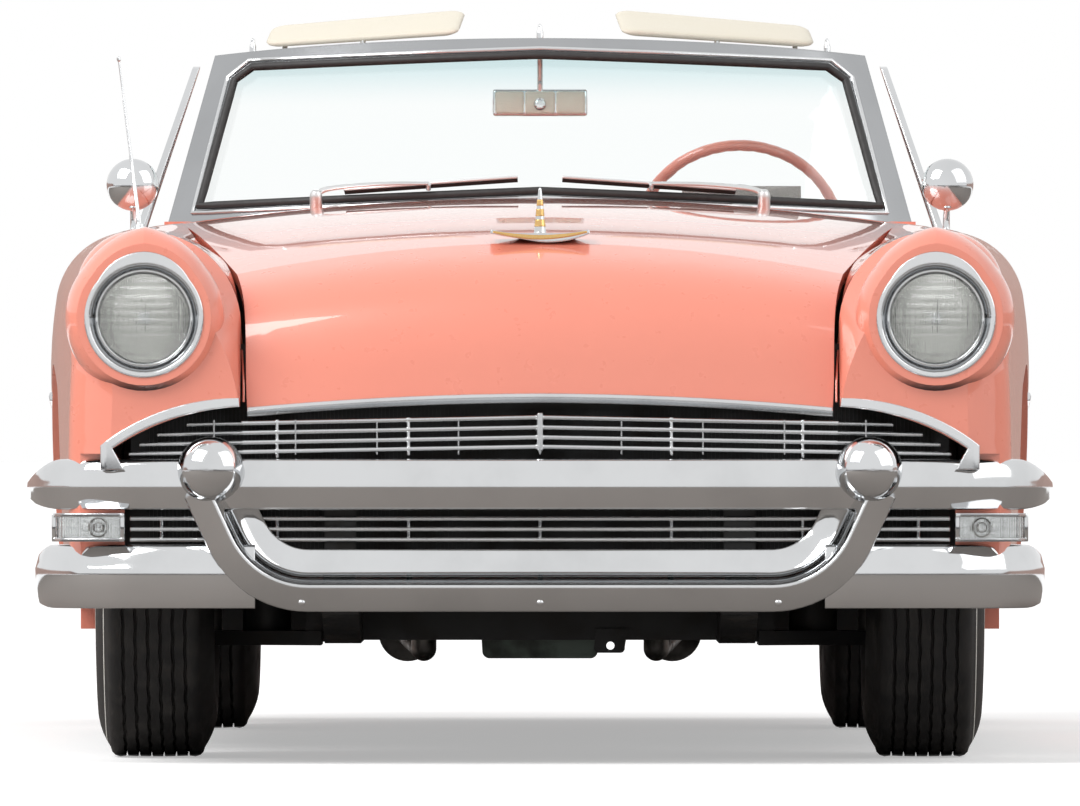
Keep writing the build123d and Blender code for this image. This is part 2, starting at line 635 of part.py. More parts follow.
UPPER_BAR = [(-2612, 490, 0), (-2612, 580, 0), (-2680, 527, 18), (-2648, 483, 2)]
upper_half = swept(bar_section(0, UPPER_BAR), (0, -2640, 530), [(765, -2606, 530), (928, -2455, 530)], 110)
upper_trim = prism([
    (-990, 470, 0), (990, 470, 0), (990, 515, 0), (890, 600, 20), (-890, 600, 0), (-990, 515, 20),
], across(-2800), (0, 600, 0))
guard_axis = Axis((GUARD_X, 0, GUARD_Z), (0, 1, 0))
guard = turned([
    (GUARD_BACK, 0, 0), (NOSE_TIP, 0, 0), (NOSE_TIP + GUARD_R, GUARD_R, -GUARD_R * 0.293), (GUARD_BACK, GUARD_R, 0),
], lambda u, v: at(GUARD_X + v, u, GUARD_Z), guard_axis)
guard_seat = rod((GUARD_X, NOSE_TIP - 10, GUARD_Z), (GUARD_X, GUARD_BACK + SEAT, GUARD_Z), GUARD_R + SEAT)
upper_bar = (sided(upper_half) & upper_trim) - guard_seat - mirrored(guard_seat)
upper_bar = upper_bar - fender_left - mirrored(fender_left)
upper_bar = max(bodies(upper_bar), key=lambda s: s.volume)
save("bumper_guards", guard, mirrored(guard))
save("bumper_upper_bar", upper_bar)

CRADLE = [(-2600, 296, 0), (-2600, 404, 0), (-2690, 350, -10), (-2664, 290, 3)]
cradle_half = swept(bar_section(0, CRADLE), (0, -2640, 346), [(440, -2640, 346.01), (580, -2640, 435)], 105)
cradle = sided(cradle_half) - upper_bar - guard_seat - mirrored(guard_seat)
cradle = max(bodies(cradle), key=lambda s: s.volume)
save("bumper_cradle", cradle)

WING = [(-2612, 300, 0), (-2612, 418, 0), (-2668, 374, 4), (-2650, 296, 6)]
wing_bar = swept(bar_section(540, WING), (540, -2630, 360), [(750, -2616, 360), (918, -2475, 360)], 70)
wing_trim = prism([
    (500, 285, 0), (930, 285, 0), (965, 330, 12), (965, 385, 0), (925, 425, 10), (500, 425, 0),
], across(-2800), (0, 600, 0))
wing_bar = max(bodies((wing_bar & wing_trim) - cradle - fender_left), key=lambda s: s.volume)
save("bumper_wings", wing_bar, mirrored(wing_bar))

# Parking lamps between the bars
LAMP_BACK = BUMPER_BACK - SEAT
parking = prism(
    [(788, LAMP_BACK, 0), (930, LAMP_BACK, 0), (862, -2652, 14), (788, -2662, 2)], level(423), (0, 0, 55),
)
save("parking_lamps", parking, mirrored(parking))

# Radiator panel and grilles
panel = block(-780, 780, NOSE_BACK + SEAT, NOSE_BACK + 25, 352, 800)
core = block(-330, 330, NOSE_BACK + 20, NOSE_BACK + 85, 356, 790)
save("radiator", fused(panel, core))
BAR_R = 4.5
Bar = namedtuple("Bar", "z reach")
UPPER_BARS = [Bar(660, 672), Bar(641, 728), Bar(622, 762), Bar(604, 782)]
LOWER_BARS = [Bar(467, 780), Bar(447, 780), Bar(427, 780)]
UPPER_Y = -2606.0
LOWER_Y = -2588.0
BAR_DROP = 14.0
upper = [rod((0, UPPER_Y, 597), (0, UPPER_Y, 668), 7)]
for bar in UPPER_BARS:
    for side in (-1, 1):
        upper.append(rod((0, UPPER_Y, bar.z), (side * bar.reach, UPPER_Y + 18, bar.z - BAR_DROP), BAR_R))
for x in (-500, -250, 0, 250, 500):
    tilt = abs(x) / 780
    y = UPPER_Y + 18 * tilt
    upper.append(rod((x, y, 592 - BAR_DROP * tilt), (x, y, 664 - BAR_DROP * tilt), 3.2))
    upper.append(rod((x, y, 622 - BAR_DROP * tilt), (x, NOSE_BACK, 622 - BAR_DROP * tilt), 5))
lower = []
for bar in LOWER_BARS:
    lower.append(rod((-bar.reach, LOWER_Y, bar.z), (bar.reach, LOWER_Y, bar.z), BAR_R))
for x in (-720, -500, -250, 0, 250, 500, 720):
    lower.append(rod((x, LOWER_Y, 423), (x, LOWER_Y, 471), 3.2))
    lower.append(rod((x, LOWER_Y, 447), (x, NOSE_BACK, 447), 5))
save("grille", fused(*upper), fused(*lower), mouth_lip, mirrored(mouth_lip))

# Bumper irons from the frame rails to the bars
iron = fused(
    block(350, 410, -2578, -2560 - SEAT, 300, 560),
    block(350, 410, -2640, -2570, 505, 555),
    block(350, 410, -2640, -2570, 310, 385),
)
iron = max(bodies(iron - upper_bar - cradle), key=lambda s: s.volume)

# Engine bay aprons
apron = prism(
    [(NOSE_BACK + 26, 530, 0), (-1000, 530, 0), (-1000, 980, 0), (NOSE_BACK + 26, 795, 0)],
    along(425), (12, 0, 0),
)
firewall = fused(firewall, apron, mirrored(apron), *hinges, *[mirrored(h) for h in hinges])
save("firewall", firewall)

# Rear tub: seat pan, bulkhead, trunk floor and side walls
TUB = REAR_TRACK / 2 - TYRE_WIDTH / 2 - 12.5
TUB_FLOOR = 600.0
TUB_SHEET = 12.0
TUB_REAR = 2518.0
riser = block(-795, 795, FLOOR_REAR + SEAT, FLOOR_REAR + 12, FLOOR_TOP - 11, TUB_FLOOR)
riser = riser - block(-86, 86, FLOOR_REAR - 5, FLOOR_REAR + 20, FLOOR_TOP - 20, 470)
trunk_floor = block(-TUB, TUB, FLOOR_REAR + 5, TUB_REAR, TUB_FLOOR - TUB_SHEET, TUB_FLOOR)
bulkhead = block(-TUB, TUB, 1088, 1100, TUB_FLOOR - 5, 955)
deck_rail = block(-TUB, TUB, 1440, LID_FRONT - SHUT_GAP, 880, 985)
wall = prism([
    (FLOOR_REAR + 5, TUB_FLOOR - TUB_SHEET, 0), (TUB_REAR, TUB_FLOOR - TUB_SHEET, 0), (TUB_REAR, 620, 0), (2440, 700, 0), (2300, 815, 0),
    (2000, 895, 0), (LID_FRONT - SHUT_GAP, 930, 0), (1100, 930, 0), (1050, 700, 0), (FLOOR_REAR + 5, 700, 0),
], along(TUB - 12), (12, 0, 0))
save("rear_tub", fused(trunk_floor, riser, bulkhead, deck_rail, wall, mirrored(wall)))
tail_panel = block(-LID_HALF - SHUT_GAP + SEAT, LID_HALF + SHUT_GAP - SEAT, 2530 + SEAT, 2572, 330, 592)
PLATE_HOLE_R = 3.5
PLATE_PITCH = 177.8
for side in (-1, 1):
    x = side * PLATE_PITCH / 2
    tail_panel = tail_panel - rod((x, 2500, 545), (x, 2600, 545), PLATE_HOLE_R)
striker = block(-60, 60, 2558, 2568, 590, 599)
save("tail_panel", fused(tail_panel, striker))

# Rear side trims, seats and the folded top under its boot
SHELF_LOW = 2 * TYRE_R + 32
trim = fused(
    block(770, 888, DOOR_REAR + SHUT_GAP + 3, FLOOR_REAR - SEAT, FLOOR_TOP + SEAT, 985),
    block(TUB + SEAT, 900, FLOOR_REAR - 40, 1438, SHELF_LOW, 948),
)
trim = trim - quarter_left
trim = max(bodies(trim), key=lambda s: s.volume)
save("rear_side_trims", trim, mirrored(trim))
front_base = prism([
    (-330, FLOOR_TOP + SEAT, 0), (200, FLOOR_TOP + SEAT, 0), (200, 560, 0), (-350, 610, 14), (-380, 540, 18),
], along(-700), (1400, 0, 0))
front_back = prism([
    (165, 560, 0), (255, 560, 0), (345, 965, 0), (275, 985, 26), (215, 940, 12),
], along(-700), (1400, 0, 0))
front_base = front_base - block(-151, 151, -500, 400, 300, 520)
save("front_seat_cushion", front_base)
save("front_seat_back", front_back - front_base)
rear_base = prism([
    (FLOOR_REAR - 70, 600 + SEAT, 0), (1000, 600 + SEAT, 0), (980, 690, 0), (FLOOR_REAR - 60, 720, 16),
], along(-TUB + 15), (2 * TUB - 30, 0, 0))
rear_back = prism([
    (960, 695, 0), (1000, 640, 0), (1088 - SEAT, 640, 0), (1088 - SEAT, 930, 0), (1050, 945, 12),
], along(-TUB + 15), (2 * TUB - 30, 0, 0)) - rear_base
save("rear_seat_cushion", rear_base)
save("rear_seat_back", max(bodies(rear_back), key=lambda s: s.volume))
boot = prism([
    (1084, 955 + SEAT, 0), (1432, 955 + SEAT, 0), (1432, 1010, 0), (1260, 1082, 16), (1084, 1030, 26),
], along(-TUB), (2 * TUB, 0, 0))
save("top_boot", boot)

# Dashboard, steering column and wheel
dash = prism([
    (-735, 985, 0), (-720, 850, 0), (-650, 830, 0), (-590, 870, 4), (-575, 985, -6), (-600, 1030, 8), (-735, 1060, 0),
], along(-760), (1520, 0, 0))
binnacle = prism([
    (-712, 1040, 0), (-592, 1020, 0), (-586, 1100, 0), (-640, 1132, 10), (-706, 1122, 4),
], along(STEERING_X - 120), (240, 0, 0))
dash = fused(dash, binnacle)
AIM = Vector(0, cos(radians(WHEEL_TILT)), sin(radians(WHEEL_TILT)))
HUB = at(STEERING_X, -280, 1040)
column = Solid.make_cylinder(24, 755, Plane(origin=HUB - AIM * 785, z_dir=AIM))
column_hole = Solid.make_cylinder(24 + SEAT, 760, Plane(origin=HUB - AIM * 790, z_dir=AIM))
dash = dash - cowl - slab - column_hole - fender_left - mirrored(fender_left)
save("dashboard", max(bodies(dash), key=lambda s: s.volume))
save("steering_column", column)
RIM_TUBE = 10.0
steer_plane = Plane(origin=HUB, x_dir=(1, 0, 0), z_dir=AIM)
rim = Solid.make_torus(STEERING_R - RIM_TUBE, RIM_TUBE, steer_plane)
hub = Solid.make_cylinder(34, 46, Plane(origin=HUB - AIM * (30 - SEAT), z_dir=AIM))
spokes = [
    Solid.make_cylinder(6, STEERING_R - RIM_TUBE - 20, Plane(
        origin=HUB + Vector(side * 20, 0, 0) + lift * steer_plane.y_dir, z_dir=(side, 0, 0)))
    for side in (-1, 1) for lift in (-12, 12)
]
save("steering_wheel", fused(rim, hub, *spokes))

# Rear bumper, tail lamps, fuel tank and exhaust

REAR_LINE = [(2640, 352, 0), (TAIL_TIP - 20, 346, 0), (TAIL_TIP, 420, 8), (2640, 500, 24)]
rear_half = swept(bar_section(0, REAR_LINE), (0, 2690, 420), [(740, 2660, 420), (905, 2520, 420)], 160)
rear_bar = max(bodies(sided(rear_half) - quarter_left - mirrored(quarter_left)), key=lambda s: s.volume)
save("rear_bumper", rear_bar)
rear_iron = block(350, 410, 2572 + SEAT, 2700, 380, 440) - rear_bar
rear_iron = max(bodies(rear_iron), key=lambda s: s.volume)
save("bumper_irons", iron, mirrored(iron), rear_iron, mirrored(rear_iron))
TAIL_LAMP = [(745, 700, 0), (805, 700, 22), (805, 870, 0), (745, 870, 22)]
tail_lamp = prism(TAIL_LAMP, across(2640 + SEAT), (0, 36, 0))
save("tail_lamps", tail_lamp, mirrored(tail_lamp))
tank = block(-330, 170, 1712, 2440, 300, TUB_FLOOR - TUB_SHEET - SEAT)
save("fuel_tank", tank)
PIPE_X = 230.0
MUFFLER_X = 280.0
exhaust = fused(
    rod((PIPE_X, -1400, 205), (PIPE_X, -1400, 352 - SEAT), 25),
    ball((PIPE_X, -1400, 205), 25),
    rod((PIPE_X, -1400, 205), (MUFFLER_X, 720, 210), 25),
    rod((MUFFLER_X, 715, 213), (MUFFLER_X, 1090, 213), 62),
    rod((MUFFLER_X, 1080, 213), (MUFFLER_X, 2620, 278), 24),
)
save("exhaust", exhaust, mirrored(exhaust))

# Vent windows on the doors


def vent_place(u, v):
    return at(826 - (v - 1030) * 0.33, u, v)


VENT = [(-612, 1000, 0), (-330, 1000, 0), (-330, 1362, 0), (-352, 1380, 8), (-392, 1378, 4)]
PANE = [(-578, 1044, 0), (-344, 1044, 0), (-344, 1352, 0), (-360, 1364, 0), (-388, 1362, 0)]
vent = prism(VENT, vent_place, (-14, 0, 0)) - prism(PANE, vent_place, (-14, 0, 0)) - door_left
vent = max(bodies(vent), key=lambda s: s.volume)
centre_u, centre_v = -440, 1190
PANE_IN = [(centre_u + (u - centre_u) * 0.997, centre_v + (v - centre_v) * 0.997, 0) for u, v, _ in PANE]
vent_pane = prism(PANE_IN, vent_place, (-5, 0, 0)).translate(Vector(-4, 0, 0))
save("vent_frame_left", vent)
save("vent_frame_right", mirrored(vent))
save("vent_glass_left", vent_pane)
save("vent_glass_right", mirrored(vent_pane))

# Outside mirrors, antenna, wipers, inside mirror and visors
MIRROR = (820, -900, 1132)
head = rod((MIRROR[0], MIRROR[1] - 12, MIRROR[2]), (MIRROR[0], MIRROR[1] + 14, MIRROR[2]), 52)
stem = rod((818, -890, 1030), (820, -896, 1100), 7)
base = rod((818, -890, 1010), (818, -890, 1042), 20)
side_mirror = max(bodies(fused(head, stem, base) - fender_left), key=lambda s: s.volume)
antenna = fused(rod((-790, -1500, 1010), (-790, -1500, 1048), 13), rod((-790, -1500, 1040), (-832, -1490, 1378), 3))
antenna = max(bodies(antenna - mirrored(fender_left)), key=lambda s: s.volume)
save("mirrors_and_antenna", side_mirror, mirrored(side_mirror), antenna)


def wiper(pivot, tip, heel):
    post = rod((pivot[0], pivot[1], pivot[2] - 50), pivot, 9)
    middle = tuple((a + b) / 2 for a, b in zip(tip, heel))
    made = fused(post, rod(pivot, middle, 4), rod(heel, tip, 4.5))
    return max(bodies(made - cowl - slab), key=lambda s: s.volume)


save("wipers", wiper((452, -812, 1104), (50, -836, 1146), (420, -782, 1122)),
     wiper((-452, -812, 1104), (-410, -782, 1122), (-50, -836, 1146)))
stalk = rod((0, -632, 1415), (0, -578, 1326), 6)
back = block(-95, 95, -586, -564, 1276, 1331)
inside = max(bodies(fused(stalk, back) - slab), key=lambda s: s.volume)
save("inside_mirror", inside)


VISOR_CORNERS = [(165, -615, 1440), (560, -480, 1418), (548, -376, 1455), (150, -485, 1486)]
VISOR_UP = (1.9, -3.8, 11.2)


def visor_place(u, v):
    corner, along_edge, up_edge = VISOR_CORNERS[0], VISOR_CORNERS[1], VISOR_CORNERS[3]
    return at(*[c + u * (a - c) + v * (b - c) for c, a, b in zip(corner, along_edge, up_edge)])


visor = prism([(0, 0, 0), (1, 0, 0), (1, 0.8, 0), (0, 1, 0)], visor_place, VISOR_UP)
posts = [rod((360, -562, 1402), (360, -535, 1442), 6), rod((520, -492, 1396), (520, -475, 1431), 6)]
visor = max(bodies(fused(visor, *posts) - slab), key=lambda s: s.volume)
save("sun_visors", visor, mirrored(visor))

print("nodes", len(os.listdir("parts")))
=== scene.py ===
from math import asin, cos, pi, radians, sin, sqrt

import bmesh
import bpy
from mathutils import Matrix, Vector, noise


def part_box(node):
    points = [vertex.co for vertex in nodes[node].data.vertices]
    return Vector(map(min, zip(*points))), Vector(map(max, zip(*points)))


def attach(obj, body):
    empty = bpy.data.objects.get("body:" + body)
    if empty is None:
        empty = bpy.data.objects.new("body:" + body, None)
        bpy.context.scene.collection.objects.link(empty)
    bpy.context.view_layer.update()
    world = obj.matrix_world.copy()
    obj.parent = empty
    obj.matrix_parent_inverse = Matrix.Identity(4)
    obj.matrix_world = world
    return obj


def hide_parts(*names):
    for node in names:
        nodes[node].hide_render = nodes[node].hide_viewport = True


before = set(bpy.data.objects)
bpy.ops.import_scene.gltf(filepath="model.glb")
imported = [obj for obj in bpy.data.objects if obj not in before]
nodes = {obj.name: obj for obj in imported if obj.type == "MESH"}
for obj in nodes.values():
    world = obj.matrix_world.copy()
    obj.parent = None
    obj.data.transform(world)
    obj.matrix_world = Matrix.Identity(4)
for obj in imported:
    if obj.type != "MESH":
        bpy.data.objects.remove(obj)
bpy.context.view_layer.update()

scene = bpy.context.scene
BOTH = (1, -1)

# Places along the car, in metres: X to its left, the nose at -Y, Z up
FRONT_AXLE, REAR_AXLE = -1.839, 1.285
TYRE_R, TYRE_HALF, RIM_R = 0.3665, 0.1175, 0.193
WHEELS = {
    "front_left": (0.745, FRONT_AXLE, 1),
    "front_right": (-0.745, FRONT_AXLE, -1),
    "rear_left": (0.720, REAR_AXLE, 1),
    "rear_right": (-0.720, REAR_AXLE, -1),
}
LAMP = Vector((0.752, -2.648, 0.848))
STEER_HUB = Vector((0.408, -0.280, 1.040))
STEER_AIM = Vector((0, cos(radians(28)), sin(radians(28))))


class Tap:
    """One socket of a node tree; arithmetic on it adds the nodes that are needed."""

    def __init__(self, tree, socket=None):
        self.tree = tree
        self.socket = socket

    def node(self, kind, settings=None, sockets=None, out=0):
        made = self.tree.nodes.new(kind)
        for key, value in (settings or {}).items():
            setattr(made, key, value)
        for key, value in (sockets or {}).items():
            if isinstance(value, Tap):
                self.tree.links.new(value.socket, made.inputs[key])
            else:
                made.inputs[key].default_value = value
        return Tap(self.tree, made.outputs[out])

    def math(self, operation, *terms):
        return self.node("ShaderNodeMath", {"operation": operation}, dict(enumerate(terms)))

    def __add__(self, other):
        return self.math("ADD", self, other)

    def __radd__(self, other):
        return self.math("ADD", other, self)

    def __sub__(self, other):
        return self.math("SUBTRACT", self, other)

    def __rsub__(self, other):
        return self.math("SUBTRACT", other, self)

    def __mul__(self, other):
        return self.math("MULTIPLY", self, other)

    def __rmul__(self, other):
        return self.math("MULTIPLY", other, self)

    def __truediv__(self, other):
        return self.math("DIVIDE", self, other)

    def __rtruediv__(self, other):
        return self.math("DIVIDE", other, self)

    def step(self, low, high):
        return self.node(
            "ShaderNodeMapRange", {"interpolation_type": "SMOOTHSTEP"},
            {"Value": self, "From Min": low, "From Max": high},
        )


class Finish:
    """A surface finish: one shader, with its constants on the shader's own sockets."""

    def __init__(self, name, sockets):
        self.material = bpy.data.materials.new(name)
        self.material.use_nodes = True
        self.tree = self.material.node_tree
        self.shader = self.tree.nodes["Principled BSDF"]
        for key, value in sockets.items():
            self.shader.inputs[key].default_value = value
        self.start = Tap(self.tree)
        self.place = self.start.node("ShaderNodeTexCoord", out="Object")

    def axis(self, letter):
        return self.start.node("ShaderNodeSeparateXYZ", None, {0: self.place}, letter)

    def facing(self, letter):
        normal = self.start.node("ShaderNodeNewGeometry", out="Normal")
        return self.start.node("ShaderNodeSeparateXYZ", None, {0: normal}, letter)

    def value(self, name):
        return self.start.node("ShaderNodeAttribute", {"attribute_name": name}, out="Fac")

    def noise(self, scale, detail=3.0):
        return self.start.node("ShaderNodeTexNoise", None, {"Vector": self.place, "Scale": scale, "Detail": detail})

    def cells(self, scale, feature="F1"):
        return self.start.node("ShaderNodeTexVoronoi", {"feature": feature}, {"Vector": self.place, "Scale": scale})

    def shade(self, mask, low, high):
        return self.start.node("ShaderNodeMix", {"data_type": "RGBA"}, {0: mask, 6: low, 7: high}, 2)

    def feed(self, key, tap):
        self.tree.links.new(tap.socket, self.shader.inputs[key])

    def raised(self, height, strength, distance, eased=None):
        sockets = {"Strength": strength, "Distance": distance, "Height": height}
        if eased:
            sockets["Normal"] = self.start.node("ShaderNodeBevel", {"samples": 4}, {"Radius": eased})
        self.feed("Normal", self.start.node("ShaderNodeBump", None, sockets))


def rgb(red, green, blue):
    return (red, green, blue, 1.0)


CORAL = rgb(0.85, 0.275, 0.190)
CORAL_DEEP = rgb(0.81, 0.245, 0.168)
CREAM = rgb(0.78, 0.72, 0.58)


def coral_paint(name, painted_shade_inside=False):
    f = Finish(name, {"Roughness": 0.3, "Coat Weight": 1.0, "Coat Roughness": 0.025})
    colour = f.shade(f.noise(2.3), CORAL_DEEP, CORAL)
    road_film = f.axis("Z").step(0.52, 0.30) * f.noise(9.0, 6.0).step(0.35, 0.75) * 0.35
    colour = f.shade(road_film, colour, rgb(0.42, 0.20, 0.15))
    # Painted shade: inward-facing faces low in the wings, undersides inside the wheel arches and faces low behind the
    # bumper are painted near black and lose their clear coat, as if lying in shade.
    if painted_shade_inside:
        outward = f.facing("X") * f.start.math("SIGN", f.axis("X"))
        within = f.axis("Y").step(-2.48, -2.45) * f.axis("Y").step(2.46, 2.43) * f.axis("Z").step(0.66, 0.62)
        under = f.facing("Z").step(-0.6, -0.85) * f.start.math("ABSOLUTE", f.axis("X")).step(0.915, 0.895)
        behind_bumper = f.axis("Y").step(-2.36, -2.40) * f.axis("Z").step(0.345, 0.330)
        painted_shade = f.start.math("MAXIMUM", outward.step(-0.55, -0.8) * within, under)
        painted_shade = f.start.math("MAXIMUM", painted_shade, behind_bumper)
        colour = f.shade(painted_shade, colour, rgb(0.02, 0.018, 0.017))
        f.feed("Coat Weight", 1.0 - painted_shade)
    f.feed("Base Color", colour)
    f.feed("Roughness", f.noise(40.0, 4.0) * 0.1 + 0.24)
    f.raised(f.noise(900.0, 1.0), 0.03, 0.0004, 0.003)
    return f.material


def bright_chrome(name, shade=(0.68, 0.69, 0.70), rough=0.035):
    f = Finish(name, {"Metallic": 1.0})
    smear = f.noise(7.0, 5.0).step(0.35, 0.8)
    colour = f.shade(smear, rgb(*shade), rgb(*(c * 0.9 for c in shade)))
    f.feed("Base Color", colour)
    f.feed("Roughness", smear * 0.07 + rough)
    f.raised(f.noise(5.0, 2.0), 0.05, 0.004, 0.004)
    return f.material


def dull_metal(name, shade, metallic, rough, grime=rgb(0.03, 0.025, 0.02)):
    f = Finish(name, {"Metallic": metallic})
    dirt = f.noise(14.0, 7.0).step(0.42, 0.68)
    f.feed("Base Color", f.shade(dirt * 0.7, rgb(*shade), grime))
    f.feed("Roughness", dirt * 0.25 + rough)
    f.raised(f.noise(220.0, 3.0), 0.25, 0.001)
    return f.material


def window_glass(name, band=(9.0, 9.1)):
    f = Finish(name, {"Transmission Weight": 1.0, "IOR": 1.45, "Roughness": 0.0})
    f.feed("Base Color", f.shade(f.axis("Z").step(*band), rgb(0.96, 0.985, 0.98), rgb(0.66, 0.83, 0.85)))
    f.feed("Roughness", f.noise(12.0, 4.0).step(0.5, 0.9) * 0.02)
    return f.material


def lamp_glass(name, shade, rough=0.03):
    f = Finish(name, {"Transmission Weight": 1.0, "IOR": 1.5})
    f.feed("Base Color", f.shade(f.noise(30.0), rgb(*shade), rgb(*(c * 0.93 for c in shade))))
    f.feed("Roughness", f.noise(60.0, 4.0) * 0.03 + rough)
    prisms = f.start.math("SINE", f.axis("X") * 1400.0) + f.start.math("SINE", f.axis("Z") * 420.0) * 0.6
    f.raised(prisms, 0.5, 0.0012)
    return f.material


def tyre_rubber():
    f = Finish("tyre_rubber", {})
    height = f.value("wall")
    band = height.step(0.228, 0.229) * (1.0 - height.step(0.288, 0.289))
    dust = f.noise(26.0, 6.0).step(0.4, 0.75)
    black = f.shade(dust * 0.5, rgb(0.018, 0.017, 0.017), rgb(0.060, 0.052, 0.045))
    white = f.shade(dust, rgb(0.74, 0.72, 0.67), rgb(0.60, 0.57, 0.50))
    f.feed("Base Color", f.shade(band, black, white))
    f.feed("Roughness", 0.62 + dust * 0.25)
    sipes = f.start.math("SINE", f.value("round") * 1900.0)
    f.raised(f.noise(320.0, 4.0) + sipes.step(0.6, 0.95) * -0.8, 0.35, 0.0012)
    return f.material


def soft_rubber():
    f = Finish("black_rubber", {})
    f.feed("Base Color", f.shade(f.noise(60.0), rgb(0.012, 0.012, 0.013), rgb(0.035, 0.033, 0.032)))
    f.feed("Roughness", f.noise(90.0, 4.0) * 0.25 + 0.45)
    f.raised(f.noise(500.0), 0.15, 0.0006)
    return f.material


def grained(f, wear, pores):
    f.feed("Roughness", wear * 0.18 + 0.38)
    f.raised(pores + f.noise(160.0, 5.0) * 0.6, 0.35, 0.0008)
    return f.material


def hide(name, shade, dark):
    f = Finish(name, {"Specular IOR Level": 0.4})
    wear, pores = f.noise(7.0, 6.0).step(0.38, 0.72), f.cells(420.0)
    f.feed("Base Color", f.shade(wear, f.shade(pores.step(0.0, 0.5), dark, shade), shade))
    return grained(f, wear, pores)


def bench_hide(name, front, back, width):
    """Two-tone hide: cream pleats between coral borders."""
    f = Finish(name, {"Specular IOR Level": 0.4})
    across, along = f.start.math("ABSOLUTE", f.axis("X")), f.axis("Y")
    insert = across.step(width, width - 0.004) * along.step(front, front + 0.004) * along.step(back, back - 0.004)
    insert = insert * across.step(0.058, 0.062)
    wear, pores = f.noise(7.0, 6.0).step(0.38, 0.72), f.cells(420.0)
    coral = f.shade(wear, rgb(0.55, 0.13, 0.095), rgb(0.62, 0.16, 0.115))
    f.feed("Base Color", f.shade(insert, coral, f.shade(wear, CREAM, rgb(0.72, 0.65, 0.51))))
    return grained(f, wear, pores)


def woven(name, shade, dark, threads=900.0):
    f = Finish(name, {"Sheen Weight": 0.25})
    warp = f.start.math("SINE", f.axis("X") * threads)
    weft = f.start.math("SINE", (f.axis("Y") + f.axis("Z") * 0.7) * threads)
    weave = warp * weft * 0.5 + 0.5
    fade = f.noise(5.0, 5.0).step(0.35, 0.7)
    f.feed("Base Color", f.shade(weave * 0.5 + fade * 0.3, dark, shade))
    f.feed("Roughness", 0.8 + weave * 0.1)
    f.raised(weave, 0.35, 0.0008)
    return f.material


def floor_covering():
    """Carpet on top of the floor, paint on the outside of the sills, black below."""
    f = Finish("floor_carpet", {})
    top = f.facing("Z").step(0.3, 0.6) * f.axis("Z").step(0.33, 0.35)
    outside = f.start.math("ABSOLUTE", f.axis("X")).step(0.860, 0.880) * f.facing("Z").step(-0.85, -0.6)
    tuft = f.noise(700.0, 2.0)
    carpet = f.shade(tuft.step(0.3, 0.7), rgb(0.30, 0.075, 0.055), rgb(0.46, 0.13, 0.095))
    colour = f.shade(top, rgb(0.016, 0.016, 0.016), carpet)
    f.feed("Base Color", f.shade(outside, colour, f.shade(f.noise(9.0, 6.0), CORAL_DEEP, CORAL)))
    f.feed("Coat Weight", outside)
    f.feed("Roughness", 0.55 + top * 0.4 - outside * 0.3)
    f.raised(tuft * top, 0.6, 0.004)
    return f.material


def dash_paint():
    """Coral paint with a grey crackle hood over the instruments."""
    f = Finish("dash_paint", {})
    beside = f.start.math("ABSOLUTE", f.axis("X") - 0.408)
    hood = beside.step(0.126, 0.122) * f.axis("Z").step(1.036, 1.042)
    crackle = f.cells(260.0, "DISTANCE_TO_EDGE").step(0.0, 0.12)
    grey = f.shade(crackle, rgb(0.17, 0.15, 0.14), rgb(0.30, 0.27, 0.25))
    f.feed("Base Color", f.shade(hood, f.shade(f.noise(2.3), CORAL_DEEP, CORAL), grey))
    f.feed("Coat Weight", 0.8 - hood * 0.8)
    f.feed("Roughness", 0.3 + hood * 0.3)
    f.raised(crackle * hood, 0.4, 0.001)
    return f.material


PAINT = coral_paint("coral_paint")
DASH = dash_paint()
# Wing paint, with painted shade on its inner faces and undersides.
WING_PAINT_SHADED = coral_paint("coral_wing_paint_painted_shade", True)
CHROME = bright_chrome("bright_chrome")
SATIN = bright_chrome("satin_chrome", (0.60, 0.61, 0.62), 0.16)
FRAME_STEEL = bright_chrome("screen_frame_steel", (0.42, 0.43, 0.44), 0.10)
GILT = bright_chrome("gilt_metal", (0.78, 0.50, 0.20), 0.10)
WIPER_STEEL = bright_chrome("wiper_steel", (0.74, 0.74, 0.74), 0.30)
BOWL = bright_chrome("lamp_bowl", (0.52, 0.52, 0.50), 0.08)
MIRROR = bright_chrome("mirror_glass", (0.86, 0.88, 0.88), 0.0)
BLACK = dull_metal("underbody_black", (0.016, 0.016, 0.017), 0.0, 0.45)
STEEL = dull_metal("bare_steel", (0.30, 0.29, 0.28), 0.9, 0.38)
ENGINE_GREEN = dull_metal("engine_green", (0.13, 0.17, 0.14), 0.1, 0.4)
SCREEN = window_glass("screen_glass", (1.29, 1.40))
CLEAR = window_glass("vent_glass")
LENS = lamp_glass("lamp_lens", (0.97, 0.98, 0.97))
RED = lamp_glass("red_lens", (0.62, 0.02, 0.015), 0.06)
TYRE = tyre_rubber()
RUBBER = soft_rubber()
CREAM_HIDE = hide("cream_hide", CREAM, rgb(0.62, 0.55, 0.42))
CREAM_SHELL = hide("cream_shell", rgb(0.74, 0.69, 0.58), rgb(0.66, 0.60, 0.48))
CORAL_HIDE = hide("coral_hide", rgb(0.62, 0.16, 0.115), rgb(0.46, 0.11, 0.08))
FRONT_BENCH = bench_hide("front_bench_hide", -0.30, 0.30, 0.60)
REAR_BENCH = bench_hide("rear_bench_hide", 0.68, 1.06, 0.47)
BOOT_CLOTH = woven("boot_cloth", rgb(0.74, 0.68, 0.55), rgb(0.52, 0.46, 0.35))
CARPET = floor_covering()

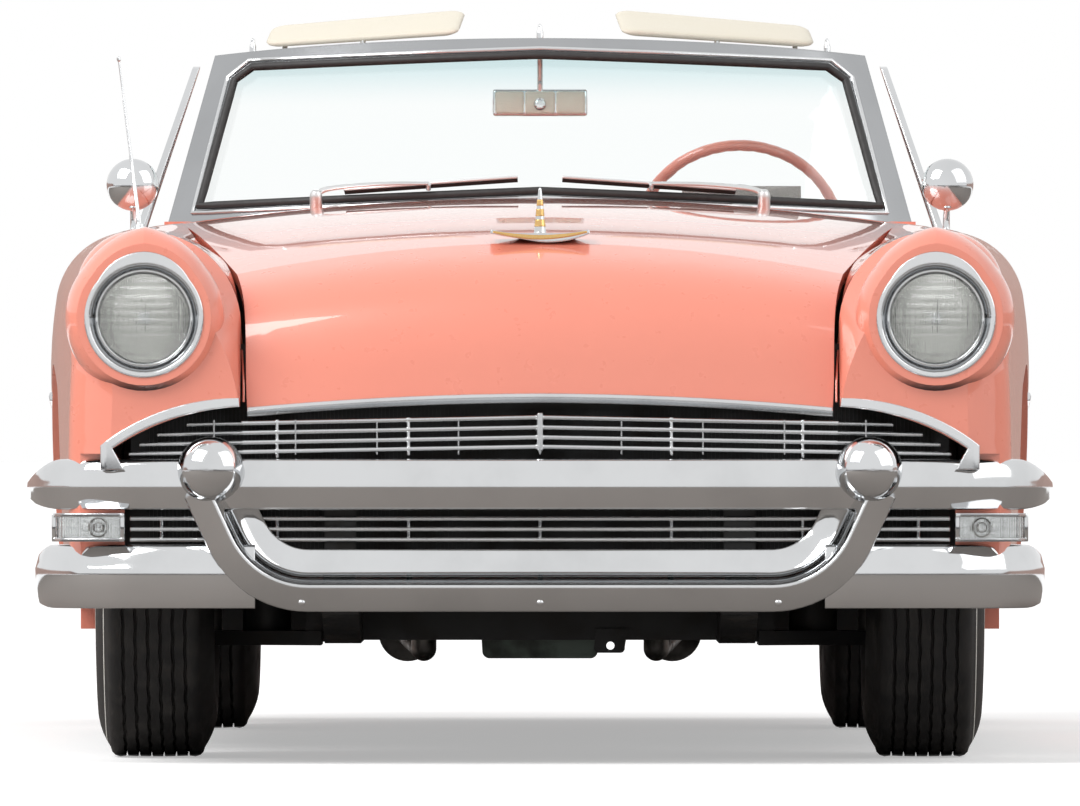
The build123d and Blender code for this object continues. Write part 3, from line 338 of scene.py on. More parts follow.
NODE_FINISH = {
    "front_fenders": WING_PAINT_SHADED, "rear_quarters": WING_PAINT_SHADED, "hood": PAINT, "cowl": PAINT, "trunk_lid": PAINT,
    "tail_panel": PAINT, "door_left": PAINT, "door_right": PAINT, "firewall": BLACK, "floor": CARPET,
    "rear_tub": CORAL_HIDE, "rear_side_trims": CORAL_HIDE, "dashboard": DASH, "steering_column": PAINT,
    "frame": BLACK, "front_suspension": BLACK, "rear_axle": BLACK, "radiator": BLACK, "fuel_tank": BLACK,
    "bumper_irons": BLACK, "engine": ENGINE_GREEN, "knuckle_left": STEEL, "knuckle_right": STEEL, "exhaust": STEEL,
    "windshield_frame": FRAME_STEEL, "windshield_glass": SCREEN, "vent_glass_left": CLEAR, "vent_glass_right": CLEAR,
    "tail_lamps": RED,
}
for name, node in nodes.items():
    node.data.materials.clear()
    node.data.materials.append(NODE_FINISH.get(name, CHROME))


def quilt(rows, across, loop=False, ring=False, start=0):
    """Four-sided faces over rows of points; loop joins the last row to the first, ring joins each row's ends."""
    faces = []
    for i in range(rows if loop else rows - 1):
        low, high = start + i * across, start + (i + 1) % rows * across
        for k in range(across if ring else across - 1):
            n = (k + 1) % across
            faces.append([low + k, low + n, high + n, high + k])
    return faces


def slab(rows, across, place):
    """A closed wall with two skins; place gives a point by its skin, row and column."""
    points = [place(skin, i, k) for skin in (0, 1) for i in range(rows) for k in range(across)]
    size = rows * across
    faces = quilt(rows, across) + quilt(rows, across, start=size)
    edges = [(i * across + k, (i + 1) * across + k) for k in (0, across - 1) for i in range(rows - 1)]
    edges += [(i * across + k, i * across + k + 1) for i in (0, rows - 1) for k in range(across - 1)]
    return points, faces + [[a, b, size + b, size + a] for a, b in edges]


def spun(profile, centre, axis, turns=64, closed=False):
    """A profile of (along, radius) turned about an axis."""
    axis = Vector(axis).normalized()
    side = axis.cross((0, 0, 1)) if abs(axis.z) < 0.9 else Vector((1, 0, 0))
    side = (side - axis * side.dot(axis)).normalized()
    other = axis.cross(side)
    ring = [side * cos(2 * pi * k / turns) + other * sin(2 * pi * k / turns) for k in range(turns)]
    points, rows, faces = [], [], []
    for reach, radius in profile:
        middle = Vector(centre) + axis * reach
        if radius < 1e-6:
            rows.append([len(points)] * turns)
            points.append(middle)
            continue
        rows.append(list(range(len(points), len(points) + turns)))
        points += [middle + out * radius for out in ring]
    for low, high in zip(rows, rows[1:] + (rows[:1] if closed else [])):
        for k in range(turns):
            j = (k + 1) % turns
            face = list(dict.fromkeys([low[k], low[j], high[j], high[k]]))
            if len(face) > 2:
                faces.append(face)
    return points, faces


def strip(path, outline, up=(0, 0, 1), closed=False, taper=None):
    """An outline of (side, rise) carried along a path."""
    path = [Vector(p) for p in path]
    count, across = len(path), len(outline)
    points = []
    for i, here in enumerate(path):
        before = path[i - 1] if i or closed else here
        after = path[(i + 1) % count] if i + 1 < count or closed else here
        ahead = (after - before).normalized()
        side = ahead.cross(up(i) if callable(up) else Vector(up)).normalized()
        rise = side.cross(ahead)
        size = taper(i / (count - 1)) if taper else 1.0
        points += [here + (side * u + rise * v) * size for u, v in outline]
    faces = quilt(count, across, closed, True)
    if not closed:
        faces += [list(range(across)), list(range((count - 1) * across, count * across))]
    return points, faces


def oblong(half, low, high):
    return [(half, high), (-half, high), (-half, low), (half, low)]


def circle(radius, turns=12, flat=1.0):
    return [(radius * cos(2 * pi * k / turns), radius * flat * sin(2 * pi * k / turns)) for k in range(turns)]


def flowing(corners, steps=8, closed=False):
    """A smooth line through its corners."""
    pts = [Vector(c) for c in corners]
    count = len(pts)
    made = []
    for i in range(count if closed else count - 1):
        a, b = pts[i], pts[(i + 1) % count]
        before = pts[i - 1] if i or closed else a
        after = pts[(i + 2) % count] if i + 2 < count or closed else b
        for k in range(steps):
            t = k / steps
            made.append(0.5 * (2 * a + (b - before) * t + (2 * before - 5 * a + 4 * b - after) * t * t
                               + (3 * a - before - 3 * b + after) * t ** 3))
    return made if closed else made + [pts[-1]]


def pillow(outline, normal, rise):
    """A closed pad over an outline, thick in the middle and thin at its edge."""
    outline = [Vector(p) for p in outline]
    centre = sum(outline, Vector()) / len(outline)
    normal = Vector(normal).normalized()
    count = len(outline)
    points, faces = list(outline), []
    for way in (1, -1):
        last = list(range(count))
        for share, lift in ((0.985, 0.5), (0.95, 0.82), (0.85, 0.96), (0.5, 1.0)):
            row = list(range(len(points), len(points) + count))
            points += [centre + (p - centre) * share + normal * (rise * lift * way) for p in outline]
            faces += [[last[k], last[(k + 1) % count], row[(k + 1) % count], row[k]] for k in range(count)]
            last = row
        points.append(centre + normal * (rise * way))
        faces += [[last[k], last[(k + 1) % count], len(points) - 1] for k in range(count)]
    return points, faces


def rounded(corners, radius, steps=5):
    """A flat outline of points with its corners rounded off."""
    pts = [Vector(c) for c in corners]
    made = []
    for i, here in enumerate(pts):
        into, out = pts[i - 1] - here, pts[(i + 1) % len(pts)] - here
        r = min(radius, into.length * 0.45, out.length * 0.45)
        a, b = here + into.normalized() * r, here + out.normalized() * r
        shares = [k / steps for k in range(steps + 1)]
        made += [a * (1 - t) ** 2 + here * 2 * t * (1 - t) + b * t * t for t in shares]
    return made


def plate(outline, reach):
    """A flat outline given a thickness."""
    outline = [Vector(p) for p in outline]
    count = len(outline)
    points = outline + [p + Vector(reach) for p in outline]
    faces = [list(range(count)), list(range(count, 2 * count))]
    faces += [[k, (k + 1) % count, count + (k + 1) % count, count + k] for k in range(count)]
    return points, faces


def bevelled_block(low, high, radius, steps=3):
    bm = bmesh.new()
    bmesh.ops.create_cube(bm, size=1.0)
    for v in bm.verts:
        v.co = Vector([(a + b) / 2 + (b - a) * c for a, b, c in zip(low, high, v.co)])
    bmesh.ops.bevel(bm, geom=list(bm.edges), offset=radius, segments=steps, profile=0.5, affect="EDGES")
    bm.verts.index_update()
    made = [v.co.copy() for v in bm.verts], [[v.index for v in face.verts] for face in bm.faces]
    bm.free()
    return made


def flipped(shape):
    points, faces = shape
    return [Vector((-p[0], p[1], p[2])) for p in points], [face[::-1] for face in faces]


def both_sides(*shapes):
    return [s for shape in shapes for s in (shape, flipped(shape))]


def fit(name, shapes, finish, body, crease=38):
    """Joins shapes into one piece that rides on a body."""
    points, faces = [], []
    for more, sides in shapes:
        faces += [[i + len(points) for i in face] for face in sides]
        points += [tuple(p) for p in more]
    mesh = bpy.data.meshes.new(name)
    mesh.from_pydata(points, [], faces)
    bm = bmesh.new()
    bm.from_mesh(mesh)
    bmesh.ops.remove_doubles(bm, verts=bm.verts, dist=1e-6)
    bmesh.ops.recalc_face_normals(bm, faces=bm.faces)
    bm.to_mesh(mesh)
    bm.free()
    return keep(name, mesh, finish, body, crease)


def plated(name, shapes, body="car", crease=38):
    return fit(name, shapes, CHROME, body, crease)


def keep(name, mesh, finish, body, crease=38):
    """Finishes a mesh as a piece that rides on a body."""
    mesh.shade_smooth()
    mesh.set_sharp_from_angle(angle=radians(crease))
    mesh.materials.clear()
    mesh.materials.append(finish)
    made = bpy.data.objects.new(name, mesh)
    scene.collection.objects.link(made)
    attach(made, body)
    return made


# Geometry trees for what repeats


def tree_for(name, sizes):
    tree = bpy.data.node_groups.new(name, "GeometryNodeTree")
    for key, value in sizes.items():
        kind = {int: "NodeSocketInt", float: "NodeSocketFloat", tuple: "NodeSocketVector"}[type(value)]
        tree.interface.new_socket(key, in_out="INPUT", socket_type=kind).default_value = value
    tree.interface.new_socket("Geometry", in_out="OUTPUT", socket_type="NodeSocketGeometry")
    start = Tap(tree)
    inlet = tree.nodes.new("NodeGroupInput")
    return start, {key: Tap(tree, inlet.outputs[key]) for key in sizes}


def grown(name, start, shape, finish):
    """Realizes a tree's instances as one plain mesh."""
    whole = start.node("GeometryNodeRealizeInstances", None, {0: shape})
    dressed = start.node("GeometryNodeSetMaterial", None, {0: whole, "Material": finish})
    start.tree.links.new(dressed.socket, start.tree.nodes.new("NodeGroupOutput").inputs[0])
    carrier = bpy.data.objects.new(name + "_carrier", bpy.data.meshes.new(name))
    scene.collection.objects.link(carrier)
    carrier.modifiers.new("grow", "NODES").node_group = start.tree
    ready = carrier.evaluated_get(bpy.context.evaluated_depsgraph_get())
    mesh = bpy.data.meshes.new_from_object(ready)
    bpy.data.objects.remove(carrier)
    return mesh


def row_of_fins(name, first, gap, count, size, finish):
    """A row of thin upright blades, one gap apart."""
    start, s = tree_for(name, {"First": tuple(first), "Gap": tuple(gap), "Count": count, "Size": tuple(size)})
    line = start.node("GeometryNodeMeshLine", {"mode": "OFFSET"}, {
        "Count": s["Count"], "Start Location": s["First"], "Offset": s["Gap"]})
    blade = start.node("GeometryNodeMeshCube", None, {"Size": s["Size"]})
    blades = start.node("GeometryNodeInstanceOnPoints", None, {"Points": line, "Instance": blade})
    return grown(name, start, blades, finish)


def ring_of_ribs(name, centre, radius, count, size, side, finish):
    """Ribs set round a wheel's axis, each one turned outwards."""
    start, s = tree_for(name, {"Centre": tuple(centre), "Radius": float(radius), "Count": count, "Size": tuple(size)})
    loop = start.node("GeometryNodeMeshCircle", None, {"Vertices": s["Count"], "Radius": s["Radius"]})
    rib = start.node("GeometryNodeMeshCylinder", None, {"Vertices": 6, "Radius": 0.5, "Depth": 1.0})
    rib = start.node("GeometryNodeTransform", None, {0: rib, "Rotation": (0.0, pi / 2, 0.0)})
    rib = start.node("GeometryNodeTransform", None, {0: rib, "Scale": s["Size"]})
    turn = start.node("GeometryNodeInputIndex") * (2 * pi) / s["Count"]
    turn = start.node("ShaderNodeCombineXYZ", None, {"Z": turn})
    ribs = start.node("GeometryNodeInstanceOnPoints", None, {"Points": loop, "Instance": rib, "Rotation": turn})
    ribs = start.node("GeometryNodeTransform", None, {
        0: ribs, "Rotation": (0.0, side * pi / 2, 0.0), "Translation": s["Centre"]})
    return grown(name, start, ribs, finish)


def studs(name, places, facing, size, finish):
    """Round-headed bolts at given points, all facing one way."""
    start, s = tree_for(name, {"Radius": float(size), "Rise": 0.55, "Facing": tuple(facing)})
    spots = [start.node("GeometryNodePoints", None, {"Count": 1, "Position": tuple(p)}) for p in places]
    joined = start.tree.nodes.new("GeometryNodeJoinGeometry")
    for spot in spots:
        start.tree.links.new(spot.socket, joined.inputs[0])
    head = start.node("GeometryNodeMeshUVSphere", None, {"Segments": 14, "Rings": 7, "Radius": s["Radius"]})
    flat = start.node("ShaderNodeCombineXYZ", None, {"X": 1.0, "Y": 1.0, "Z": s["Rise"]})
    head = start.node("GeometryNodeTransform", None, {0: head, "Scale": flat})
    aim = start.node("FunctionNodeAlignRotationToVector", {"axis": "Z"}, {"Vector": s["Facing"]})
    heads = start.node("GeometryNodeInstanceOnPoints", None, {
        "Points": Tap(start.tree, joined.outputs[0]), "Instance": head, "Rotation": aim})
    return grown(name, start, heads, finish)


# Tyres with ribbed tread
GROOVES, GROOVE_DEEP, GROOVE_WAVE = (0.060, 0.036, 0.012), 0.0085, 0.0011
TYRE_TURNS = 168


def arc(a, b, rise, steps):
    (u0, v0), (u1, v1) = a, b
    du, dv = u1 - u0, v1 - v0
    size = sqrt(du * du + dv * dv)
    made = []
    for k in range(1, steps + 1):
        t = k / steps
        bulge = 4 * rise * t * (1 - t)
        made.append((u0 + du * t + dv / size * bulge, v0 + dv * t - du / size * bulge))
    return made


def tyre_line():
    """(across, radius, zigzag) round half a tyre's section, then the other half."""
    bead, shoulder, tread = (0.072, RIM_R), (TYRE_HALF - 0.026, TYRE_R - 0.018), (TYRE_HALF - 0.044, TYRE_R)
    half = [(u, r, 0.0) for u, r in [bead] + arc(bead, shoulder, 0.033, 12) + arc(shoulder, tread, 0.005, 3)]
    for middle in GROOVES:
        crown = TYRE_R - (middle / tread[0]) ** 2 * 0.002
        floor = crown - GROOVE_DEEP
        half += [(middle + 0.0032, crown, 1.0), (middle + 0.0020, floor, 1.0)]
        half += [(middle - 0.0020, floor, 1.0), (middle - 0.0032, crown, 1.0)]
    return half + [(-u, r, -z) for u, r, z in reversed(half)]


TYRE_LINE = tyre_line()
for where, (x, axle, side) in WHEELS.items():
    points, wall, round_it = [], [], []
    for k in range(TYRE_TURNS):
        turn = 2 * pi * k / TYRE_TURNS
        zig = GROOVE_WAVE * (1 - abs((k % 4) - 2))
        for u, r, z in TYRE_LINE:
            points.append((x + side * (u + z * zig), axle + r * cos(turn), TYRE_R + r * sin(turn)))
            wall.append(r if u > 0.06 and r < TYRE_R - 0.02 else 0.0)
            round_it.append(abs(turn - pi) if r > TYRE_R - 0.02 else 0.0)
    mesh = bpy.data.meshes.new("tread_" + where)
    mesh.from_pydata(points, [], quilt(TYRE_TURNS, len(TYRE_LINE), True, True))
    for key, values in (("wall", wall), ("round", round_it)):
        mesh.attributes.new(key, "FLOAT", "POINT").data.foreach_set("value", values)
    bm = bmesh.new()
    bm.from_mesh(mesh)
    bmesh.ops.recalc_face_normals(bm, faces=bm.faces)
    bm.to_mesh(mesh)
    bm.free()
    tyre = keep("tread_" + where, mesh, TYRE, "wheel_" + where, 50)
    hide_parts("tyre_" + where)
    name, middle = "cover_ribs_" + where, (x + side * 0.0790, axle, TYRE_R)
    ribs = ring_of_ribs(name, middle, 0.146, 40, (0.044, 0.006, 0.009), side, SATIN)
    keep(name, ribs, SATIN, "wheel_" + where)
    cap = [(0.090, 0.062), (0.099, 0.060), (0.106, 0.046), (0.109, 0.022), (0.110, 0.0)]
    fit("hub_cap_" + where, [spun(cap, (x, axle, TYRE_R), (side, 0, 0), 48)], PAINT, "wheel_" + where)

# Headlamps: bright retaining ring, shallow bowl and fluted lens


def lens_face(radius, depth, turns=56, rings=22):
    """A domed glass with upright flutes and a band of cross prisms, 4 mm thick."""
    points, rows, faces = [], [], []
    for i in range(rings + 1):
        r = radius * i / rings
        row = []
        for k in range(turns if i else 1):
            turn = 2 * pi * k / turns
            u, v = r * cos(turn), r * sin(turn)
            dome = depth * (1 - (r / radius) ** 2)
            flute = 0.0018 * abs(sin(u * pi / 0.0105)) * min(1, 3 * (1 - r / radius))
            band = 0.0016 * abs(sin(v * pi / 0.014)) if abs(u) < 0.06 and abs(v) < 0.042 else 0
            row.append(len(points))
            points.append(Vector((u, -dome - flute - band, v)))
        rows.append(row if i else row * turns)
    for low, high in zip(rows, rows[1:]):
        for k in range(turns):
            j = (k + 1) % turns
            faces.append(list(dict.fromkeys([low[k], low[j], high[j], high[k]])))
    rim = rows[-1]
    back = list(range(len(points), len(points) + turns))
    points += [points[i] + Vector((0, 0.004, 0)) for i in rim]
    faces += [[rim[k], rim[(k + 1) % turns], back[(k + 1) % turns], back[k]] for k in range(turns)]
    chain = [back]
    for share in (0.66, 0.33):
        chain.append(list(range(len(points), len(points) + turns)))
        points += [Vector((points[i].x * share, 0.004 - depth * (1 - share ** 2), points[i].z * share)) for i in back]
    for low, high in zip(chain, chain[1:]):
        faces += [[low[k], low[(k + 1) % turns], high[(k + 1) % turns], high[k]] for k in range(turns)]
    points.append(Vector((0, 0.004 - depth, 0)))
    faces += [[chain[-1][k], chain[-1][(k + 1) % turns], len(points) - 1] for k in range(turns)]
    return points, faces


lens_points, lens_sides = lens_face(0.0845, 0.015)
lens = [p + LAMP + Vector((0, 0.013, 0)) for p in lens_points], lens_sides
lens_pair = fit("headlamp_lenses", both_sides(lens), LENS, "car", 60)
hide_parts("headlamps")
bowl = spun([
    (0.027, 0.0), (0.0265, 0.030), (0.024, 0.060), (0.019, 0.084), (0.020, 0.086), (0.0295, 0.086), (0.0295, 0.0),
], LAMP, (0, 1, 0))
fit("headlamp_bowls", both_sides(bowl), BOWL, "car")
holder = spun([
    (0.016, 0.0840), (0.010, 0.0855), (0.006, 0.0885), (0.007, 0.0920),
    (0.012, 0.0945), (0.0290, 0.0945), (0.0290, 0.0865), (0.018, 0.0862),
], LAMP, (0, 1, 0), 72, True)
plated("headlamp_holders", both_sides(holder))
bulb = spun([(0.012, 0.0), (0.013, 0.009), (0.019, 0.013), (0.026, 0.013)], LAMP, (0, 1, 0), 24)
fit("headlamp_shields", both_sides(bulb), SATIN, "car")

# Windshield line: a point on the curved screen, by its x and height


def screen_bow(half, y_corner, z_corner, y_middle, z_middle):
    lean = Vector((0, y_corner - y_middle, z_corner - z_middle))
    sag = lean.length
    radius = (half * half + sag * sag) / (2 * sag)
    reach = asin(half / radius)
    lean.normalize()

    def point(s):
        return Vector((radius * sin(reach * s), y_middle, z_middle)) + lean * radius * (1 - cos(reach * s))
    return point, lean


FOOT, FOOT_LEAN = screen_bow(0.762, -0.630, 1.034, -0.858, 1.080)
HEAD, HEAD_LEAN = screen_bow(0.664, -0.425, 1.404, -0.640, 1.434)


def on_screen(x, z, deep=0.0):
    s, t = x / 0.72, (z - 1.08) / 0.354
    for _ in range(25):
        here = FOOT(s) * (1 - t) + HEAD(s) * t
        s += (x - here.x) / 0.72
        t += (z - here.z) / 0.36
    return here + (FOOT_LEAN * (1 - t) + HEAD_LEAN * t).normalized() * deep


def window_line(grow, deep):
    right = [(0.690 + grow, 1.094 - grow), (0.622 + grow, 1.352 + grow * 0.4), (0.585 + grow * 0.6, 1.378 + grow)]
    left = [(-x, z) for x, z in reversed(right)]
    corners = left[2:] + [(0, 1.122 - grow)] + right + [(0, 1.398 + grow)] + left[:2]
    line = []
    for (x0, z0), (x1, z1) in zip(corners, corners[1:] + corners[:1]):
        steps = max(2, int(sqrt((x1 - x0) ** 2 + (z1 - z0) ** 2) / 0.03))
        line += [on_screen(x0 + (x1 - x0) * k / steps, z0 + (z1 - z0) * k / steps, deep) for k in range(steps)]
    return line


SCREEN_OUT = (0, -0.6, 0.8)
gasket = strip(window_line(0.001, 0.000), circle(0.0085, 10), SCREEN_OUT, True)
fit("screen_gasket", [gasket], RUBBER, "car")
plated("screen_reveal", [strip(window_line(0.015, -0.002), circle(0.0050, 8, 0.8), SCREEN_OUT, True)])
pin = [(-0.006, 0.0), (0, 0.007), (0.014, 0.007), (0.020, 0.0045), (0.028, 0.004), (0.031, 0.0)]
pin_places = (-0.586, -0.458, 1.4080), (0.0, -0.625, 1.4330), (0.586, -0.458, 1.4080)
plated("top_latch_pins", [spun(pin, place, (0, 0, 1), 20) for place in pin_places])

# Wipers
WIPER_UP = (0, -0.5, 0.8)


def wiper():
    pivot = Vector((0.452, -0.822, 1.110))
    knee = on_screen(0.225, 1.130, -0.032)
    line = [on_screen(0.395 - 0.35 * k / 14, 1.118 + 0.024 * k / 14, -0.013) for k in range(15)]
    arm = flowing([pivot + Vector((0, 0, 0.004)), pivot + Vector((-0.030, 0.002, 0.016)),
                   pivot.lerp(knee, 0.55) + Vector((0, -0.006, 0.010)), knee], 8)
    shapes = [
        strip(arm, oblong(0.006, -0.002, 0.002), WIPER_UP, taper=lambda t: 1.25 - 0.55 * t),
        spun([(-0.03, 0.013), (0.0, 0.013), (0.006, 0.0115), (0.012, 0.008), (0.014, 0.0)], pivot, (0, -0.35, 0.9), 24),
        strip([p + Vector((0, -0.006, 0.004)) for p in line], circle(0.0035, 8), WIPER_UP),
        spun([(-0.008, 0.0), (-0.008, 0.005), (0.006, 0.005), (0.006, 0.0)],
             knee + Vector((0, 0.010, -0.006)), (0, -0.6, 0.7), 16),
    ]
    blade = strip(line, [(0.0022, 0.004), (-0.0022, 0.004), (-0.0008, -0.007), (0.0008, -0.007)], WIPER_UP)
    return shapes, blade


metal, blade = wiper()
arms = fit("wiper_arms", both_sides(*metal), WIPER_STEEL, "car")
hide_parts("wipers")
fit("wiper_blades", both_sides(blade), RUBBER, "car")

# Outside mirrors and antenna


MIRROR_AT = (0.820, -0.900, 1.132)


def outside_mirror():
    head = spun([
        (0.012, 0.0), (0.012, 0.0490), (0.0135, 0.0515), (0.010, 0.0525), (0.004, 0.0520),
        (-0.010, 0.0470), (-0.021, 0.036), (-0.029, 0.020), (-0.032, 0.0),
    ], MIRROR_AT, (0, 1, 0), 56)
    bend = [(0.818, -0.890, 1.036), (0.818, -0.889, 1.060), (0.819, -0.893, 1.086), (0.820, -0.900, 1.104)]
    stalk = strip(flowing(bend, 6), circle(0.0065, 12), (0, 1, 0), taper=lambda t: 1.15 - 0.3 * t)
    dome = [(-0.012, 0.0), (-0.012, 0.020), (0.004, 0.0200), (0.009, 0.017), (0.014, 0.0095), (0.016, 0.0)]
    return head, stalk, spun(dome, (0.818, -0.890, 1.028), (0, 0, 1), 32)


def antenna():
    low, high = Vector((-0.790, -1.500, 1.040)), Vector((-0.832, -1.490, 1.372))
    mast = [
        (-0.004, 0.0), (-0.004, 0.0055), (0.02, 0.0050), (0.022, 0.0036), (0.14, 0.0036), (0.142, 0.0028),
        (0.25, 0.0028), (0.252, 0.0020), (0.328, 0.0020), (0.328, 0.0034), (0.332, 0.0040), (0.336, 0.0034),
        (0.338, 0.0),
    ]
    base = [(-0.012, 0.0), (-0.012, 0.016), (0.006, 0.016), (0.014, 0.011), (0.026, 0.008), (0.026, 0.0)]
    return spun(mast, low, high - low, 14), spun(base, (-0.790, -1.500, 1.018), (0, 0, 1), 28)


mirrors = plated("outside_mirrors", both_sides(*outside_mirror()) + list(antenna()))
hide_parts("mirrors_and_antenna")
glass = spun([(0.0125, 0.0), (0.0128, 0.046), (0.0138, 0.047), (0.0138, 0.0)], MIRROR_AT, (0, 1, 0), 48)
fit("outside_mirror_glass", both_sides(glass), MIRROR, "car")

# Inside mirror: bright stalk, cream panels on its back
bend = flowing([(0, -0.626, 1.412), (0, -0.612, 1.386), (0, -0.590, 1.352), (0, -0.580, 1.322)], 6)
stalk = strip(bend, circle(0.0055, 12), (1, 0, 0))
rim = bevelled_block((-0.0960, -0.5850, 1.2760), (0.0960, -0.5660, 1.3310), 0.006, 4)
knob_line = [(0.0, 0.0), (0.0, 0.013), (0.012, 0.013), (0.017, 0.009), (0.018, 0.0)]
knob = spun(knob_line, (0, -0.582, 1.300), (0, -1, 0), 24)
inside = plated("inside_mirror_rim", [stalk, rim, knob])
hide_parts("inside_mirror")
panels = []
for a, b in ((-0.091, -0.033), (-0.030, 0.030), (0.033, 0.091)):
    panels.append(bevelled_block((a, -0.5905, 1.281), (b, -0.5800, 1.326), 0.0045, 3))
fit("inside_mirror_back", panels, CREAM_SHELL, "car")
glass = bevelled_block((-0.090, -0.5675, 1.281), (0.090, -0.5640, 1.326), 0.0014, 2)
fit("inside_mirror_glass", [glass], MIRROR, "car")

# Sun visors, tilted up over the header
VISOR_IN, VISOR_OUT = Vector((0.165, -0.615, 1.440)), Vector((0.560, -0.480, 1.418))
VISOR_TOP = Vector((0.150, -0.485, 1.486))
VISOR_UP = (VISOR_OUT - VISOR_IN).cross(VISOR_TOP - VISOR_IN).normalized()


def visor():
    corners = [VISOR_IN, VISOR_OUT, VISOR_OUT + (VISOR_TOP - VISOR_IN) * 0.8, VISOR_TOP]
    return pillow(rounded([c + VISOR_UP * 0.006 for c in corners], 0.028, 8), VISOR_UP, 0.0075)


visors = fit("sun_visor_pads", both_sides(visor()), CREAM_SHELL, "car", 80)
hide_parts("sun_visors")
brackets = []
for foot, top in (((0.360, -0.558, 1.408), (0.360, -0.535, 1.441)), ((0.520, -0.489, 1.402), (0.520, -0.475, 1.430))):
    axis = Vector(top) - Vector(foot)
    post = [(0.0, 0.0), (0.0, 0.012), (0.006, 0.011), (0.012, 0.0060), (axis.length, 0.0055), (axis.length, 0.0)]
    brackets.append(spun(post, foot, axis, 18))
plated("visor_brackets", both_sides(*brackets))

# Steering wheel: rim with finger grips, spokes, hub and bright horn ring


ACROSS = Vector((1, 0, 0))
STEER_UP = STEER_AIM.cross(ACROSS)


def steering_rim():
    turns, around = 132, 14
    points = []
    for k in range(turns):
        turn = 2 * pi * k / turns
        out = ACROSS * cos(turn) + STEER_UP * sin(turn)
        grip = 0.0017 * (0.5 + 0.5 * cos(turn * 44))
        for j in range(around):
            lean = 2 * pi * j / around
            r = 0.0118 - grip * (0.5 - 0.5 * sin(lean))
            points.append(STEER_HUB + out * (0.204 + r * cos(lean)) + STEER_AIM * (r * sin(lean)))
    return points, quilt(turns, around, True, True)


spokes = []
for side in BOTH:
    for lift in (-0.014, 0.014):
        line = []
        for x in (0.020, 0.07, 0.12, 0.17, 0.202):
            spread, dish = lift * (1 + 1.6 * (x / 0.2) ** 2), 0.004 * (1 - x / 0.2)
            line.append(STEER_HUB + ACROSS * (side * x) + STEER_UP * spread - STEER_AIM * dish)
        spokes.append(strip(line, circle(0.0068, 10, 0.7), STEER_AIM))
hub_line = [(-0.0295, 0.0), (-0.0295, 0.030), (-0.012, 0.036), (0.006, 0.036), (0.012, 0.032), (0.014, 0.0)]
hub = spun(hub_line, STEER_HUB, STEER_AIM, 40)
wheel = fit("steering_rim", [steering_rim(), hub] + spokes, PAINT, "steering_wheel", 60)
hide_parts("steering_wheel")
horn = spun([(0.012 + v, 0.105 + u) for u, v in circle(0.0035, 10)], STEER_HUB, STEER_AIM, 72, True)
legs = []
for turn in (0, pi, -pi / 2):
    out = ACROSS * cos(turn) + STEER_UP * sin(turn)
    legs.append(strip([STEER_HUB + STEER_AIM * 0.012 + out * r for r in (0.02, 0.105)], circle(0.004, 8), STEER_AIM))
button = spun([(0.012, 0.030), (0.018, 0.029), (0.023, 0.020), (0.025, 0.0)], STEER_HUB, STEER_AIM, 36)
plated("horn_ring", [horn, button] + legs, "steering_wheel")

# Radiator fins behind the grilles
for name, middle, tall in (("upper_fins", 0.615, 0.125), ("lower_fins", 0.447, 0.075)):
    fins = row_of_fins(name, (-0.745, -2.5345, middle), (0.0075, 0, 0), 200, (0.0012, 0.009, tall), BLACK)
    keep(name, fins, BLACK, "car")
posts = row_of_fins("upper_grille_posts", (-0.62, -2.597, 0.622), (0.155, 0, 0), 9, (0.003, 0.004, 0.066), SATIN)
keep("upper_grille_posts", posts, SATIN, "car")

# Parking lamps: bright shell, back plate and a lens with a bullseye
LAMP_LINE = flowing([
    (0.928, -2.600, 0), (0.909, -2.630, 0), (0.866, -2.651, 0), (0.826, -2.6585, 0), (0.790, -2.6615, 0),
], 10)


def lamp_wall(line, low, high, bulge, thick):
    """A wall along a line, with its bulge given by (along, height)."""
    rows = 18
    run, out = [0.0], []
    for a, b in zip(line, line[1:]):
        run.append(run[-1] + (b - a).length)
    for i in range(len(line)):
        ahead = (line[min(i + 1, len(line) - 1)] - line[max(i - 1, 0)]).normalized()
        across = ahead.cross(Vector((0, 0, 1)))
        out.append(across if across.y < 0 else -across)

    def place(skin, i, k):
        z = low + (high - low) * k / rows
        return Vector((line[i].x, line[i].y, z)) + out[i] * (-thick if skin else bulge(run[i], z))
    return slab(len(line), rows + 1, place)


def bullseye(run, z):
    r = sqrt((run - 0.098) ** 2 + (z - 0.4505) ** 2)
    if r < 0.020:
        return -0.003 + 0.0022 * abs(cos(r * pi / 0.0068))
    return -0.003 + 0.0008 * abs(sin(run * pi / 0.006))


inner_line = LAMP_LINE[2:-2]
lens = lamp_wall(inner_line, 0.4300, 0.4710, bullseye, 0.0065)
fit("parking_lamp_lenses", both_sides(lens), LENS, "car", 50)
back = lamp_wall(inner_line, 0.4290, 0.4720, lambda run, z: -0.012, 0.015)
fit("parking_lamp_backs", both_sides(back), SATIN, "car")
eye = Vector((0.8385, -2.6470, 0.4505))
eye_rings = []
for low, high in ((0.0160, 0.0185), (0.0080, 0.0100)):
    eye_rings.append(spun([(0.0, low), (0.004, low), (0.004, high), (0.0, high)], eye, (0.17, -1, 0), 40, True))
fit("parking_lamp_rings", both_sides(*eye_rings), STEEL, "car")
outline = [(p.x, p.y, 0) for p in LAMP_LINE] + [(0.790, -2.598, 0), (0.928, -2.598, 0)]
shells = [plate([(x, y, low) for x, y, _ in outline], (0, 0, 0.0065)) for low in (0.4235, 0.4710)]
shells.append(bevelled_block((0.7885, -2.6610, 0.4240), (0.7965, -2.5985, 0.4770), 0.0015, 2))
shells.append(bevelled_block((0.9170, -2.6080, 0.4240), (0.9285, -2.5985, 0.4770), 0.0015, 2))
shell = plated("parking_lamp_shells", both_sides(*shells))
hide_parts("parking_lamps")

# Tail lamps: ribbed red lens in a bright bezel


